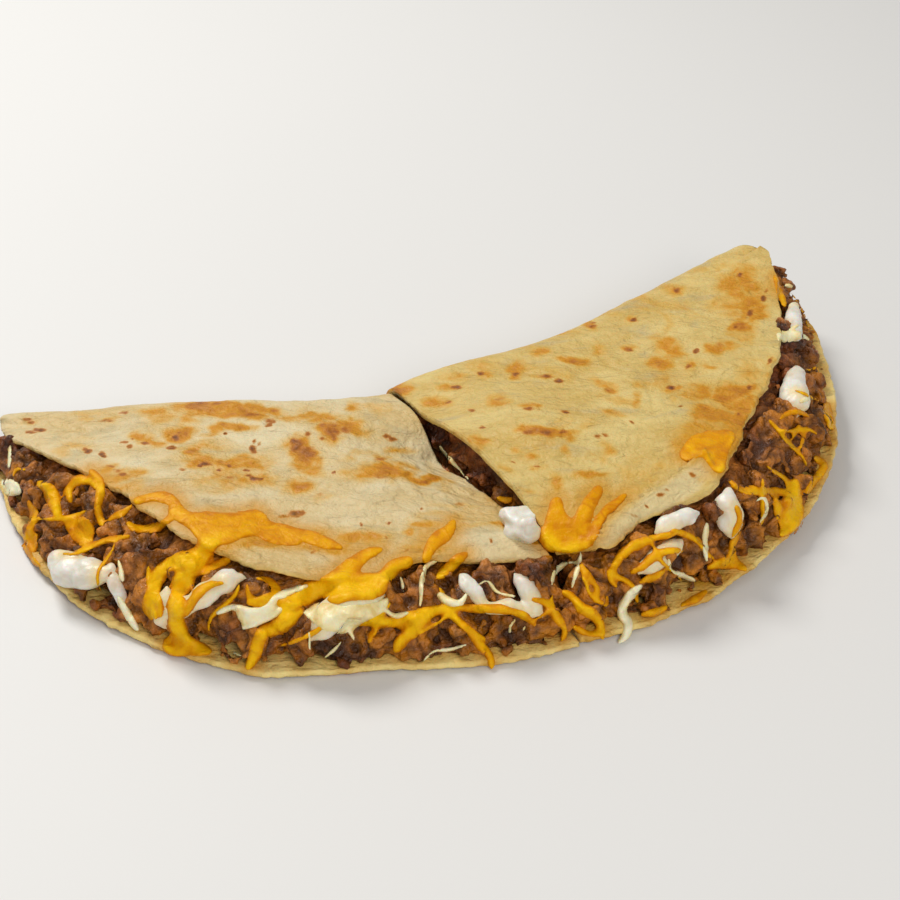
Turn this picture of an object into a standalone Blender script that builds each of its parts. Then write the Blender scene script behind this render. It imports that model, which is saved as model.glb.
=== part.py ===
"""A folded flour-tortilla quesadilla, cut across its fold into two wedges that still lie together.

Each wedge is one tortilla sheet that runs from the lower leaf's rim, round the fold at the
back and out to the upper leaf's rim, with ground beef and melted cheese between its leaves.
Dollops and ribbons of sour cream sit in the filling. The underside lies on the plane z = 0.
Lengths are in metres and angles in degrees.
"""

import math
import random
from dataclasses import dataclass

import bmesh
import bpy
import numpy as np
from mathutils import Matrix, Vector, noise

TORTILLA_THICKNESS = 0.0019
FILLING_GAP = 0.0009
CUT_CENTRE = Vector((-0.0127, 0.0077, 0.0))
LOWER_CUT_ANGLE = 301.8
UPPER_CUT_ANGLE = 303.4
CUT_HALF_WIDTH = 0.0006
WEDGE_END = 0.985
CORE_END = 0.950
FOLD_LENGTH = 0.115
SLOPE_STEP = 0.02
SKIN_STEP = 0.004
DOME_REACH = 0.15
WAVE_REACH = 0.25

RIBS = 22
LOWER_STEPS = 5
BEND_STEPS = 6
UPPER_STEPS = 7
RIM_LIFT_WIDTH = 0.026
WAVE_HEIGHT = 0.0009
WAVE_LENGTH = 0.034

FOOT_INSET = 0.0055
BROW_REACH = 0.0020
BROW_DROP = 0.0015
FACE_CURVE = 1.4
FACE_BULGE = 0.0020
CUT_RECESS = 0.0022
FOOT_LIFT = 0.7
CORE_START = 0.25
CORE_RIM = 2.97
FACE_SHARES = (0.97, 0.75, 0.5, 0.25, 0.0)

BEEF_SEED = 11
BEEF_SPACING = 0.0108
BEEF_SIZES = (0.0046, 0.0078)
BEEF_BUMPS = 0.42
BEEF_DEPTH = 0.35
BEEF_NARROWING = 0.25
BEEF_ROWS = ((0.14, 0.42), (0.62, 0.88))
FIRST_CHUNK, LAST_CHUNK = 0.03, 0.975
CUT_CRUMBS = 7
CUT_CRUMB_REACH = 0.55
CHEESE_SEED = 5
CHEESE_SPACING = 0.0155
CHEESE_WIDTH = 0.0030
CHEESE_THICKNESS = 0.0016
CHEESE_STEPS = 5
FIRST_STRAND, LAST_STRAND = 0.05, 0.905
FACE_LENGTH = 0.19
STRIP_SIDES = 6
FILLING_TRIANGLES = 3300
ROOM_HEIGHT = 0.030
ROOM_SIZE = 0.3
VOXEL = 0.0010


@dataclass
class Wedge:
    """One half of the cut quesadilla, measured about the middle of the fold."""

    name: str
    tip_angle: float
    fold: tuple
    lower_rim: tuple
    upper_rim: tuple
    cut_profile: tuple
    dome: float
    side: float
    seed: int


# Rows of the fold: share of its length from the cut, x, y and height of its top.
# Rows of a rim: angle about the cut's centre, radius, and height above the rest plane.
# Rows of a cut profile: share of the way from the fold to the rim, and height off a straight line.
LEFT = Wedge(
    name="left",
    tip_angle=188.0,
    fold=(
        (0.0, -0.0090, 0.0060, 0.0168),
        (0.11, -0.0217, 0.0012, 0.0171),
        (0.47, -0.0626, -0.0059, 0.0187),
        (0.84, -0.1058, -0.0081, 0.0150),
        (1.0, -0.1240, -0.0072, 0.0122),
    ),
    lower_rim=(
        (188.0, 0.1130, 0.0008),
        (206.0, 0.1102, 0.0014),
        (225.0, 0.1106, 0.0010),
        (240.0, 0.1085, 0.0004),
        (256.0, 0.1070, 0.0003),
        (270.0, 0.1008, 0.0003),
        (287.0, 0.1008, 0.0003),
        (301.8, 0.1035, 0.0003),
    ),
    upper_rim=(
        (188.0, 0.1120, 0.0115),
        (203.9, 0.0959, 0.0168),
        (218.6, 0.0875, 0.0190),
        (229.0, 0.0877, 0.0203),
        (246.0, 0.0905, 0.0222),
        (259.0, 0.0890, 0.0202),
        (268.0, 0.0872, 0.0192),
        (279.4, 0.0786, 0.0190),
        (291.0, 0.0812, 0.0178),
        (303.4, 0.0847, 0.0160),
    ),
    cut_profile=(
        (0.0, 0.0),
        (0.15, 0.0004),
        (0.31, -0.0078),
        (0.50, -0.0036),
        (0.70, -0.0004),
        (0.87, 0.0020),
        (1.0, 0.0),
    ),
    dome=0.0022,
    side=-1.0,
    seed=3,
)
RIGHT = Wedge(
    name="right",
    tip_angle=393.4,
    fold=(
        (0.0, -0.0090, 0.0060, 0.0180),
        (0.10, 0.0026, 0.0130, 0.0199),
        (0.27, 0.0243, 0.0234, 0.0210),
        (0.49, 0.0503, 0.0399, 0.0221),
        (0.69, 0.0711, 0.0588, 0.0232),
        (1.0, 0.1060, 0.0884, 0.0262),
    ),
    lower_rim=(
        (301.8, 0.1025, 0.0003),
        (318.0, 0.1100, 0.0005),
        (331.0, 0.1168, 0.0022),
        (344.0, 0.1248, 0.0050),
        (358.0, 0.1320, 0.0072),
        (374.0, 0.1395, 0.0078),
        (386.0, 0.1480, 0.0080),
        (393.4, 0.1500, 0.0080),
    ),
    upper_rim=(
        (303.4, 0.0855, 0.0170),
        (309.7, 0.0925, 0.0192),
        (320.7, 0.0937, 0.0230),
        (329.6, 0.1020, 0.0250),
        (340.0, 0.1024, 0.0258),
        (352.2, 0.1049, 0.0260),
        (366.3, 0.1153, 0.0260),
        (378.2, 0.1253, 0.0260),
        (393.4, 0.1432, 0.0262),
    ),
    cut_profile=(
        (0.0, 0.0),
        (0.15, 0.0005),
        (0.30, 0.0048),
        (0.45, 0.0068),
        (0.65, 0.0076),
        (0.82, 0.0068),
        (0.93, 0.0030),
        (1.0, 0.0),
    ),
    dome=0.0030,
    side=1.0,
    seed=8,
)
CUT_PROFILE_REACH = 0.34
FOLD_TURN_REACH = 0.20

# Each pool of sour cream: its ribbons' stops of (place along the wedge, share up the face), and widths.
CREAM_POOLS = (
    (
        "cream_left_1",
        LEFT,
        (
            (((0.715, 0.10), (0.67, 0.20), (0.632, 0.40)), 0.0100),
            (((0.640, 0.50), (0.612, 0.33), (0.580, 0.06)), 0.0042),
        ),
    ),
    (
        "cream_left_2",
        LEFT,
        (
            (((0.470, 0.96), (0.486, 0.88), (0.504, 0.55), (0.530, 0.25)), 0.0072),
            (((0.546, 0.53), (0.536, 0.30), (0.522, 0.10)), 0.0056),
        ),
    ),
    (
        "cream_left_3",
        LEFT,
        (
            (((0.280, 0.92), (0.312, 0.88), (0.345, 0.84)), 0.0082),
            (((0.312, 0.88), (0.336, 0.66), (0.346, 0.40)), 0.0080),
        ),
    ),
    (
        "cream_left_4",
        LEFT,
        (
            (((0.150, 0.96), (0.138, 0.84), (0.120, 0.60)), 0.0046),
            (((0.120, 0.60), (0.084, 0.56), (0.050, 0.42)), 0.0050),
            (((0.066, 0.96), (0.056, 0.80), (0.046, 0.45)), 0.0056),
        ),
    ),
    ("cream_right_1", RIGHT, ((((0.180, 0.94), (0.212, 0.97), (0.246, 0.98)), 0.0062),)),
    ("cream_right_2", RIGHT, ((((0.318, 0.98), (0.302, 0.86), (0.288, 0.56)), 0.0080),)),
    ("cream_right_3", RIGHT, ((((0.200, 0.72), (0.160, 0.70), (0.118, 0.66)), 0.0064),)),
    ("cream_right_4", RIGHT, ((((0.700, 0.90), (0.640, 0.82), (0.600, 0.74)), 0.0090),)),
    ("cream_right_5", RIGHT, ((((0.880, 0.90), (0.830, 0.94), (0.790, 0.90)), 0.0048),)),
)
CREAM_PROUD = 0.0030
CREAM_FLATNESS = 0.75
CREAM_STEPS = 3
CREAM_VOXEL = 0.0007
CREAM_TRIANGLES = 130
CUT_CREAM_SHARE = 0.87
CUT_CREAM_ASIDE = 0.0022
CUT_CREAM_HEIGHT = 0.0195
CUT_CREAM_RADII = (0.0058, 0.0052, 0.0042)

BEEF_COLOUR = (0.135, 0.058, 0.034)
TORTILLA_COLOURS = {"left": (0.72, 0.56, 0.36), "right": (0.70, 0.49, 0.24)}
CREAM_COLOUR = (0.86, 0.83, 0.76)


def clear_scene():
    for thing in list(bpy.data.objects):
        bpy.data.objects.remove(thing, do_unlink=True)


def through(rows, place):
    """The values at place on a smooth curve through rows of (place, value, ...)."""
    rows = np.asarray(rows, float)
    places, values = rows[:, 0], rows[:, 1:]
    place = min(max(place, places[0]), places[-1])
    index = min(int(np.searchsorted(places, place, side="right")) - 1, len(places) - 2)
    slopes = np.gradient(values, places, axis=0)
    width = places[index + 1] - places[index]
    share = (place - places[index]) / width
    rise = share * share * (3 - 2 * share)
    start = slopes[index] * width * share * (1 - share) ** 2
    end = slopes[index + 1] * width * share**2 * (share - 1)
    return values[index] * (1 - rise) + values[index + 1] * rise + start + end


def ease(share):
    share = min(max(share, 0.0), 1.0)
    return share * share * (3 - 2 * share)


def on_circle(angle, radius):
    turn = math.radians(angle)
    return CUT_CENTRE + Vector((math.cos(turn), math.sin(turn), 0.0)) * radius


@dataclass
class Rib:
    """One line across a wedge, from the fold to a point on each rim."""

    fold: Vector
    top: float
    back: Vector
    lower: Vector
    lift: float
    upper: Vector
    upper_height: float
    dome: float


def rim_point(wedge, rim, cut_angle, place, grow):
    """A rim's point in plan, pushed out by grow, with the rim's height there."""
    angle = cut_angle + (wedge.tip_angle - cut_angle) * place
    radius, height = through(rim, angle)
    return on_circle(angle, radius + grow), height


def rib_at(wedge, place, grow=0.0):
    """The rib at a share of the way from the cut to the tip, its rims pushed out by grow."""
    lower, lift = rim_point(wedge, wedge.lower_rim, LOWER_CUT_ANGLE, place, grow)
    upper, upper_height = rim_point(wedge, wedge.upper_rim, UPPER_CUT_ANGLE, place, grow)
    fold_x, fold_y, top = through(wedge.fold, place)
    fold = Vector((fold_x, fold_y, 0.0))
    across = on_circle(UPPER_CUT_ANGLE, 1.0) - CUT_CENTRE
    aside = Vector((-across.y, across.x, 0.0)) * wedge.side
    shift = aside * (CUT_HALF_WIDTH - grow) * (1 - ease(place / CUT_PROFILE_REACH))
    out = (upper - fold).normalized()
    before, after = max(place - SLOPE_STEP, 0.0), min(place + SLOPE_STEP, 1.0)
    step = through(wedge.fold, after) - through(wedge.fold, before)
    normal = Vector((-step[1], step[0], 0.0)).normalized() * wedge.side
    turn = ease(place / FOLD_TURN_REACH)
    return Rib(
        fold=fold + shift,
        top=top,
        back=(normal * turn - out * (1 - turn)).normalized(),
        lower=lower + shift,
        lift=lift,
        upper=upper + shift,
        upper_height=upper_height,
        dome=wedge.dome * ease(place / DOME_REACH) * (1 - place),
    )


def wave_at(wedge, point):
    """The slow waves of the upper leaf."""
    seat = Vector((point.x, point.y, 0.0)) / WAVE_LENGTH + Vector((wedge.seed, 0.0, 0.0))
    return noise.noise(seat) * WAVE_HEIGHT * 2


def sheet_point(wedge, place, along, grow=0.0):
    """A point of the sheet's outer skin: along runs 0 to 1 over the lower leaf from its rim,
    1 to 2 round the fold, and 2 to 3 over the upper leaf to its rim."""
    rib = rib_at(wedge, place, grow)
    if along <= 1:
        point = rib.lower.lerp(rib.fold, along)
        near_rim = 1 - (point - rib.lower).length / RIM_LIFT_WIDTH
        point.z = rib.lift * ease(near_rim)
        return point
    if along <= 2:
        turn = math.pi * (along - 1)
        radius = rib.top / 2
        point = rib.fold + rib.back * radius * math.sin(turn)
        point.z = radius * (1 - math.cos(turn))
        return point
    share = along - 2
    point = rib.fold.lerp(rib.upper, share)
    straight = rib.top + (rib.upper_height - rib.top) * share
    fade = max(1 - place / CUT_PROFILE_REACH, 0.0) ** 2
    sag = through(wedge.cut_profile, share)[0] * fade
    dome = rib.dome * 4 * share * (1 - share)
    point.z = straight + sag + dome + wave_at(wedge, point) * ease(share / WAVE_REACH)
    return point


def inner_point(wedge, place, along, depth):
    """The point depth under the sheet's outer skin, measured square to it."""
    before, after = max(place - SKIN_STEP, 0.0), min(place + SKIN_STEP, 1.0)
    across = sheet_point(wedge, after, along) - sheet_point(wedge, before, along)
    low, high = max(along - SKIN_STEP, 0.0), min(along + SKIN_STEP, 3.0)
    ahead = sheet_point(wedge, place, high) - sheet_point(wedge, place, low)
    outward = ahead.cross(across).normalized() * wedge.side
    return sheet_point(wedge, place, along) - outward * depth


def sheet_stations():
    """The places along a rib where the sheet has points, closest together round the fold."""
    lower = [(step / LOWER_STEPS) ** 1.5 for step in range(LOWER_STEPS)]
    bend = [1 + step / BEND_STEPS for step in range(BEND_STEPS)]
    upper = [2 + step / UPPER_STEPS for step in range(UPPER_STEPS + 1)]
    return lower + bend + upper


def rib_places(start=0.0, end=WEDGE_END):
    return [start + (end - start) * step / (RIBS - 1) for step in range(RIBS)]


def face_out(shape):
    """Turn every face of a closed mesh outward."""
    bmesh.ops.recalc_face_normals(shape, faces=shape.faces)
    if shape.calc_volume(signed=True) < 0:
        bmesh.ops.reverse_faces(shape, faces=shape.faces)


def new_object(name, mesh_data, colour=None, roughness=0.6):
    mesh = bpy.data.meshes.new(name)
    mesh_data.to_mesh(mesh)
    mesh_data.free()
    thing = bpy.data.objects.new(name, mesh)
    bpy.context.scene.collection.objects.link(thing)
    if colour:
        mesh.materials.append(food_material(name, colour, roughness))
    return thing


def food_material(name, colour, roughness):
    material = bpy.data.materials.new(name)
    material.use_nodes = True
    shader = material.node_tree.nodes["Principled BSDF"]
    shader.inputs["Base Color"].default_value = (*colour, 1.0)
    shader.inputs["Roughness"].default_value = roughness
    shader.inputs["Metallic"].default_value = 0.0
    return material


def bridge_rows(shape, rows, closed):
    """Faces between neighbouring rows of points, each row a loop where closed is set."""
    for first, second in zip(rows, rows[1:]):
        count = len(first)
        for index in range(count if closed else count - 1):
            after = (index + 1) % count
            shape.faces.new((first[index], first[after], second[after], second[index]))


def sheet_skin(wedge, name, grow=0.0):
    """The sheet's outer skin as an open surface, its rims pushed out by grow."""
    shape = bmesh.new()
    rows = []
    for place in rib_places(0.0, WEDGE_END + 1.5 * grow / FOLD_LENGTH):
        points = [sheet_point(wedge, place, along, grow) for along in sheet_stations()]
        rows.append([shape.verts.new(point) for point in points])
    bridge_rows(shape, rows, closed=False)
    bmesh.ops.recalc_face_normals(shape, faces=shape.faces)
    thing = new_object(name, shape, TORTILLA_COLOURS[wedge.name], 0.7)
    turn_skin_outward(thing)
    return thing


def thicken(thing, inward, outward=0.0):
    """Give an open skin its thickness, measured from the skin to both sides."""
    solid = thing.modifiers.new("Thickness", "SOLIDIFY")
    solid.thickness = inward + outward
    solid.offset = 2 * outward / solid.thickness - 1
    solid.use_even_offset = True
    return thing


def tortilla_sheet(wedge):
    skin = sheet_skin(wedge, f"tortilla_{wedge.name}")
    return thicken(skin, TORTILLA_THICKNESS)


def clearance_of_sheet(wedge):
    """The sheet with a gap round it, which the filling and the cream stay out of."""
    skin = sheet_skin(wedge, "clearance", FILLING_GAP)
    return applied(thicken(skin, TORTILLA_THICKNESS + FILLING_GAP, FILLING_GAP))


def room_past_leaf(wedge, first, last, height):
    """A block that starts inside one leaf and reaches away from the filling by height."""
    stations = [along for along in sheet_stations() if first <= along <= last]
    shape = bmesh.new()
    rows = []
    for place in rib_places():
        points = [sheet_point(wedge, place, along, FILLING_GAP) for along in stations]
        inset = math.copysign(TORTILLA_THICKNESS / 2, height)
        rows.append([shape.verts.new(point - Vector((0.0, 0.0, inset))) for point in points])
    bridge_rows(shape, rows, closed=False)
    grown = bmesh.ops.extrude_face_region(shape, geom=list(shape.faces))
    moved = [item for item in grown["geom"] if isinstance(item, bmesh.types.BMVert)]
    bmesh.ops.translate(shape, verts=moved, vec=(0.0, 0.0, height))
    face_out(shape)
    return new_object("room", shape)


def turn_skin_outward(thing):
    """Faces of the underside look down."""
    mesh = thing.data
    lowest = min(mesh.polygons, key=lambda face: face.center.z)
    if lowest.normal.z > 0:
        mesh.flip_normals()


def face_point(wedge, place, share, proud=0.0):
    """A point of the filling's front face: share runs from 0 at its foot to 1 under the upper rim."""
    rib = rib_at(wedge, place)
    lower_out = (rib.lower - rib.fold).normalized()
    upper_out = (rib.upper - rib.fold).normalized()
    foot = rib.lower - lower_out * min(FOOT_INSET, (rib.lower - rib.fold).length / 2)
    foot.z = rib.lift * FOOT_LIFT + TORTILLA_THICKNESS + FILLING_GAP
    brow = rib.upper + upper_out * BROW_REACH
    brow.z = rib.upper_height - TORTILLA_THICKNESS - BROW_DROP
    point = foot.lerp(brow, share)
    lean = foot.lerp(brow, share**FACE_CURVE)
    point.x, point.y = lean.x, lean.y
    bulge = FACE_BULGE * math.sin(math.pi * share) + proud
    return point + lower_out * bulge * 0.8 + Vector((0.0, 0.0, bulge * 0.5))


def filling_core(wedge):
    """The filling's body, a gap inside the sheet all round, with its sloping front face."""
    shape = bmesh.new()
    depth = TORTILLA_THICKNESS + FILLING_GAP
    stations = [along for along in sheet_stations() if CORE_START < along < CORE_RIM]
    recess = CUT_RECESS / FOLD_LENGTH
    rows = []
    for place in rib_places(recess, CORE_END):
        points = [inner_point(wedge, place, along, depth) for along in stations + [CORE_RIM]]
        points += [face_point(wedge, place, share) for share in FACE_SHARES]
        rows.append([shape.verts.new(point) for point in points])
    bridge_rows(shape, rows, closed=True)
    shape.faces.new(rows[0])
    shape.faces.new(rows[-1])
    bmesh.ops.triangulate(shape, faces=shape.faces)
    face_out(shape)
    return new_object("core", shape)


def beef_chunk(place, size, draws):
    """One irregular crumble of browned beef."""
    shape = bmesh.new()
    bmesh.ops.create_icosphere(shape, subdivisions=2, radius=1.0)
    stretch = Vector((draws.uniform(0.85, 1.25), draws.uniform(0.8, 1.1), draws.uniform(0.7, 0.95)))
    seat = Vector((draws.uniform(0, 90), draws.uniform(0, 90), 0.0))
    turn = Matrix.Rotation(draws.uniform(0, math.tau), 3, Vector((draws.random(), draws.random(), 1.0)))
    for vertex in shape.verts:
        bump = 1 + BEEF_BUMPS * noise.noise(vertex.co * 1.5 + seat)
        vertex.co = turn @ (vertex.co * stretch * bump * size) + place
    return new_object("chunk", shape)


def beef_on_face(wedge):
    """Crumbles along the front face, row by row, spaced by arc length."""
    draws = random.Random(BEEF_SEED + wedge.seed)
    chunks = []
    for low_share, high_share in BEEF_ROWS:
        place = FIRST_CHUNK
        while place < LAST_CHUNK:
            share = draws.uniform(low_share, high_share)
            size = draws.uniform(*BEEF_SIZES) * (1 - BEEF_NARROWING * place)
            seat = face_point(wedge, place, share, -BEEF_DEPTH * size)
            chunks.append(beef_chunk(seat, size, draws))
            ahead = face_point(wedge, place + SLOPE_STEP, share)
            pace = (ahead - face_point(wedge, place, share)).length / SLOPE_STEP
            place += BEEF_SPACING * draws.uniform(0.75, 1.2) / pace
    return chunks


def into_wedge(wedge):
    """The level direction from the cut into a wedge."""
    rib = rib_at(wedge, 0.0)
    across = (rib.upper - rib.fold).normalized()
    return Vector((-across.y, across.x, 0.0)) * wedge.side


def beef_on_cut(wedge):
    """Crumbles along the cut face, which stay behind the plane of the cut."""
    draws = random.Random(BEEF_SEED * 2 + wedge.seed)
    chunks = []
    for step in range(CUT_CRUMBS):
        share = (step + 0.5) / CUT_CRUMBS
        top = sheet_point(wedge, SLOPE_STEP, 2 + share).z
        room = top - 2 * TORTILLA_THICKNESS
        rib = rib_at(wedge, 0.0)
        seat = rib.fold.lerp(rib.upper, share)
        seat.z = TORTILLA_THICKNESS + room * draws.uniform(0.4, 0.6)
        size = min(room * CUT_CRUMB_REACH, draws.uniform(*BEEF_SIZES))
        chunks.append(beef_chunk(seat + into_wedge(wedge) * (size * 0.9), size, draws))
    return chunks


def strip_along(points, width, thickness):
    """A strand with a six-sided section that narrows to both ends."""
    shape = bmesh.new()
    rows = []
    count = len(points)
    for index, point in enumerate(points):
        ahead = points[min(index + 1, count - 1)] - points[max(index - 1, 0)]
        side = ahead.cross(Vector((0.0, 0.0, 1.0))).normalized()
        lift = side.cross(ahead).normalized()
        taper = 0.45 + 0.55 * math.sin(math.pi * index / (count - 1)) ** 0.5
        row = []
        for corner in range(STRIP_SIDES):
            turn = math.tau * corner / STRIP_SIDES
            offset = side * math.cos(turn) * width + lift * math.sin(turn) * thickness
            row.append(shape.verts.new(point + offset * 0.5 * taper))
        rows.append(row)
    bridge_rows(shape, rows, closed=True)
    shape.faces.new(rows[0])
    shape.faces.new(rows[-1])
    bmesh.ops.triangulate(shape, faces=shape.faces)
    face_out(shape)
    return shape


def cheese_on_face(wedge):
    """Melted shreds that cross the front face on a slant."""
    draws = random.Random(CHEESE_SEED + wedge.seed)
    strands = []
    place = FIRST_STRAND
    while place < LAST_STRAND:
        lean = draws.uniform(-0.07, 0.07)
        low, high = draws.uniform(0.0, 0.3), draws.uniform(0.65, 0.95)
        proud = draws.uniform(0.001, 0.0022)
        points = []
        for step in range(CHEESE_STEPS + 1):
            share = step / CHEESE_STEPS
            seat = place + lean * share + 0.006 * math.sin(6 * share + place * 40)
            points.append(face_point(wedge, seat, low + (high - low) * share, proud))
        shape = strip_along(points, CHEESE_WIDTH * draws.uniform(0.8, 1.4), CHEESE_THICKNESS)
        strands.append(new_object("strand", shape))
        place += CHEESE_SPACING * draws.uniform(0.7, 1.3) / FACE_LENGTH
    return strands


def gather(name, things):
    group = bpy.data.collections.new(name)
    bpy.context.scene.collection.children.link(group)
    for thing in things:
        bpy.context.scene.collection.objects.unlink(thing)
        group.objects.link(thing)
    return group


def apply_boolean(thing, operation, group):
    """Join or cut with every object of a collection, then drop the collection."""
    modifier = thing.modifiers.new(operation.title(), "BOOLEAN")
    modifier.operation = operation
    modifier.operand_type = "COLLECTION"
    modifier.collection = group
    modifier.solver = "MANIFOLD"
    with bpy.context.temp_override(object=thing):
        bpy.ops.object.modifier_apply(modifier=modifier.name)
    for helper in list(group.objects):
        bpy.data.objects.remove(helper, do_unlink=True)
    bpy.data.collections.remove(group)


def volume_of(faces):
    total = 0.0
    for face in faces:
        corners = [vertex.co for vertex in face.verts]
        for index in range(1, len(corners) - 1):
            total += corners[0].dot(corners[index].cross(corners[index + 1])) / 6
    return total


def connected_bodies(shape):
    """The mesh's separate bodies, each a list of faces."""
    waiting = set(shape.faces)
    bodies = []
    while waiting:
        front = [waiting.pop()]
        body = []
        while front:
            face = front.pop()
            body.append(face)
            for edge in face.edges:
                for other in edge.link_faces:
                    if other in waiting:
                        waiting.remove(other)
                        front.append(other)
        bodies.append(body)
    return bodies


def keep_largest_body(thing):
    """Drop loose scraps and fill any sealed hollow."""
    shape = bmesh.new()
    shape.from_mesh(thing.data)
    bodies = connected_bodies(shape)
    largest = max(bodies, key=volume_of)
    extra = [face for body in bodies if body is not largest for face in body]
    bmesh.ops.delete(shape, geom=extra, context="FACES")
    loose = [vertex for vertex in shape.verts if not vertex.link_faces]
    bmesh.ops.delete(shape, geom=loose, context="VERTS")
    shape.to_mesh(thing.data)
    shape.free()


def applied(thing):
    """The object with its modifiers made into mesh."""
    with bpy.context.temp_override(object=thing):
        for modifier in list(thing.modifiers):
            bpy.ops.object.modifier_apply(modifier=modifier.name)
    return thing


def room_beside_cut(wedge):
    """A block that holds everything on the far side of the cut, to trim a filling with."""
    away = -into_wedge(wedge)
    shape = bmesh.new()
    bmesh.ops.create_cube(shape, size=ROOM_SIZE)
    turn = Matrix.Rotation(math.atan2(away.y, away.x), 3, "Z")
    for vertex in shape.verts:
        vertex.co = turn @ vertex.co + rib_at(wedge, 0.0).fold + away * ROOM_SIZE / 2
    return new_object("room", shape)


def even_out(thing, voxel, triangles):
    """Rebuild a joined mesh as one clean skin of about the given number of triangles."""
    remesh = thing.modifiers.new("Remesh", "REMESH")
    remesh.mode = "VOXEL"
    remesh.voxel_size = voxel
    applied(thing)
    keep_largest_body(thing)
    modifier = thing.modifiers.new("Simplify", "DECIMATE")
    modifier.ratio = triangles / (2 * len(thing.data.polygons))
    applied(thing)
    keep_largest_body(thing)


def filling(wedge, pools):
    thing = filling_core(wedge)
    pieces = beef_on_face(wedge) + beef_on_cut(wedge) + cheese_on_face(wedge)
    apply_boolean(thing, "UNION", gather("pieces", pieces))
    clear = [clearance_of_sheet(wedge), room_beside_cut(wedge)]
    clear += [room_past_leaf(wedge, 2.0, 3.0, ROOM_HEIGHT), room_past_leaf(wedge, 0.0, 1.0, -ROOM_HEIGHT)]
    clear += [cream_body(wedge, ribbons, FILLING_GAP) for ribbons in pools]
    clear.append(cut_cream_body(FILLING_GAP))
    apply_boolean(thing, "DIFFERENCE", gather("clearance", clear))
    even_out(thing, VOXEL, FILLING_TRIANGLES)
    thing.name = f"filling_{wedge.name}"
    thing.data.name = thing.name
    thing.data.materials.clear()
    thing.data.materials.append(food_material(thing.name, BEEF_COLOUR, 0.45))
    return thing


def cream_ribbon(wedge, stops, width, grow):
    """One swept ribbon of cream over the front face, through stops of (place, share)."""
    seats = [face_point(wedge, place, share, CREAM_PROUD) for place, share in stops]
    rows = [(index, *seat) for index, seat in enumerate(seats)]
    steps = CREAM_STEPS * (len(stops) - 1)
    points = [Vector(through(rows, step / CREAM_STEPS)) for step in range(steps + 1)]
    for end, beside in ((0, 1), (-1, -2)):
        points[end] += (points[end] - points[beside]).normalized() * grow
    return strip_along(points, width + 2 * grow, width * CREAM_FLATNESS + 2 * grow)


def cream_body(wedge, ribbons, grow=0.0):
    """Every ribbon of one pool of cream, joined."""
    pieces = [new_object("cream", cream_ribbon(wedge, *ribbon, grow)) for ribbon in ribbons]
    first = pieces.pop()
    if pieces:
        apply_boolean(first, "UNION", gather("ribbons", pieces))
    return first


def cut_cream_body(grow=0.0):
    """The dollop that squeezes out of the cut and lies on the left leaf."""
    rib = rib_at(LEFT, 0.0)
    seat = rib.fold.lerp(rib.upper, CUT_CREAM_SHARE) + into_wedge(LEFT) * CUT_CREAM_ASIDE
    seat.z = CUT_CREAM_HEIGHT
    along = (rib.upper - rib.fold).normalized()
    turn = Matrix.Rotation(math.atan2(along.y, along.x), 3, "Z")
    shape = bmesh.new()
    bmesh.ops.create_icosphere(shape, subdivisions=3, radius=1.0)
    for vertex in shape.verts:
        sides = (a * (b + grow) for a, b in zip(vertex.co, CUT_CREAM_RADII))
        vertex.co = turn @ Vector(sides) + seat
    return new_object("cream", shape)


def finish_cream(thing, name):
    """Trim a pool of cream clear of both sheets and give it its name and finish."""
    clear = [clearance_of_sheet(wedge) for wedge in (LEFT, RIGHT)]
    apply_boolean(thing, "DIFFERENCE", gather("clearance", clear))
    even_out(thing, CREAM_VOXEL, CREAM_TRIANGLES)
    thing.name = name
    thing.data.name = name
    thing.data.materials.append(food_material(name, CREAM_COLOUR, 0.3))


def main():
    clear_scene()
    for wedge in (LEFT, RIGHT):
        tortilla_sheet(wedge)
        pools = [ribbons for name, side, ribbons in CREAM_POOLS if side is wedge]
        filling(wedge, pools)
    for name, wedge, ribbons in CREAM_POOLS:
        finish_cream(cream_body(wedge, ribbons), name)
    finish_cream(cut_cream_body(), "cream_cut")


main()
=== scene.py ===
"""A folded quesadilla: flour tortilla, ground beef, melted cheese and sour cream, dressed and lit.

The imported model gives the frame. Every piece below replaces one of its nodes or lies on one:
the toasted sheets, the crumbled beef, the sour cream, and the two melted cheeses with their drips.
Lengths are in metres, angles in degrees, and places in the photograph in its own 900 x 900 pixels.
"""

import math
import random
from dataclasses import dataclass
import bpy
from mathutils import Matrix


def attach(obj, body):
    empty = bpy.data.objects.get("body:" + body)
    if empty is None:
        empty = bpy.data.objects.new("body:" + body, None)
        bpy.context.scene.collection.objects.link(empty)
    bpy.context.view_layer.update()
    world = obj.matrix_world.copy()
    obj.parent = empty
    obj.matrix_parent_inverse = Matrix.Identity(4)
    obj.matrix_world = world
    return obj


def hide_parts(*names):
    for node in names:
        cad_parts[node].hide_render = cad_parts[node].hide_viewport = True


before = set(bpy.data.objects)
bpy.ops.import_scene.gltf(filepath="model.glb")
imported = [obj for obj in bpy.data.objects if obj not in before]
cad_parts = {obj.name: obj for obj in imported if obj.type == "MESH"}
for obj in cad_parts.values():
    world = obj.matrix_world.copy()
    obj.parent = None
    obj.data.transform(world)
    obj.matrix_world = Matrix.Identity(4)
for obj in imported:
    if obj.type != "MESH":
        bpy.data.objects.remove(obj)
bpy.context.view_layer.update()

from types import SimpleNamespace

import bmesh
import bpy
import numpy as np
from mathutils import Matrix, Vector, noise
from mathutils.bvhtree import BVHTree
from mathutils.kdtree import KDTree

# The camera of the photograph.
IMAGE_MIDDLE = 450.0
FOCAL_PIXELS = 1700.0
SENSOR_WIDTH = 36.0
LENS = FOCAL_PIXELS * SENSOR_WIDTH / (2 * IMAGE_MIDDLE)
CAMERA_PLACE = np.array((0.0067, -0.4043, 0.2938))
CAMERA_PITCH = 35.77
CAMERA_ROLL = 2.29

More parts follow.
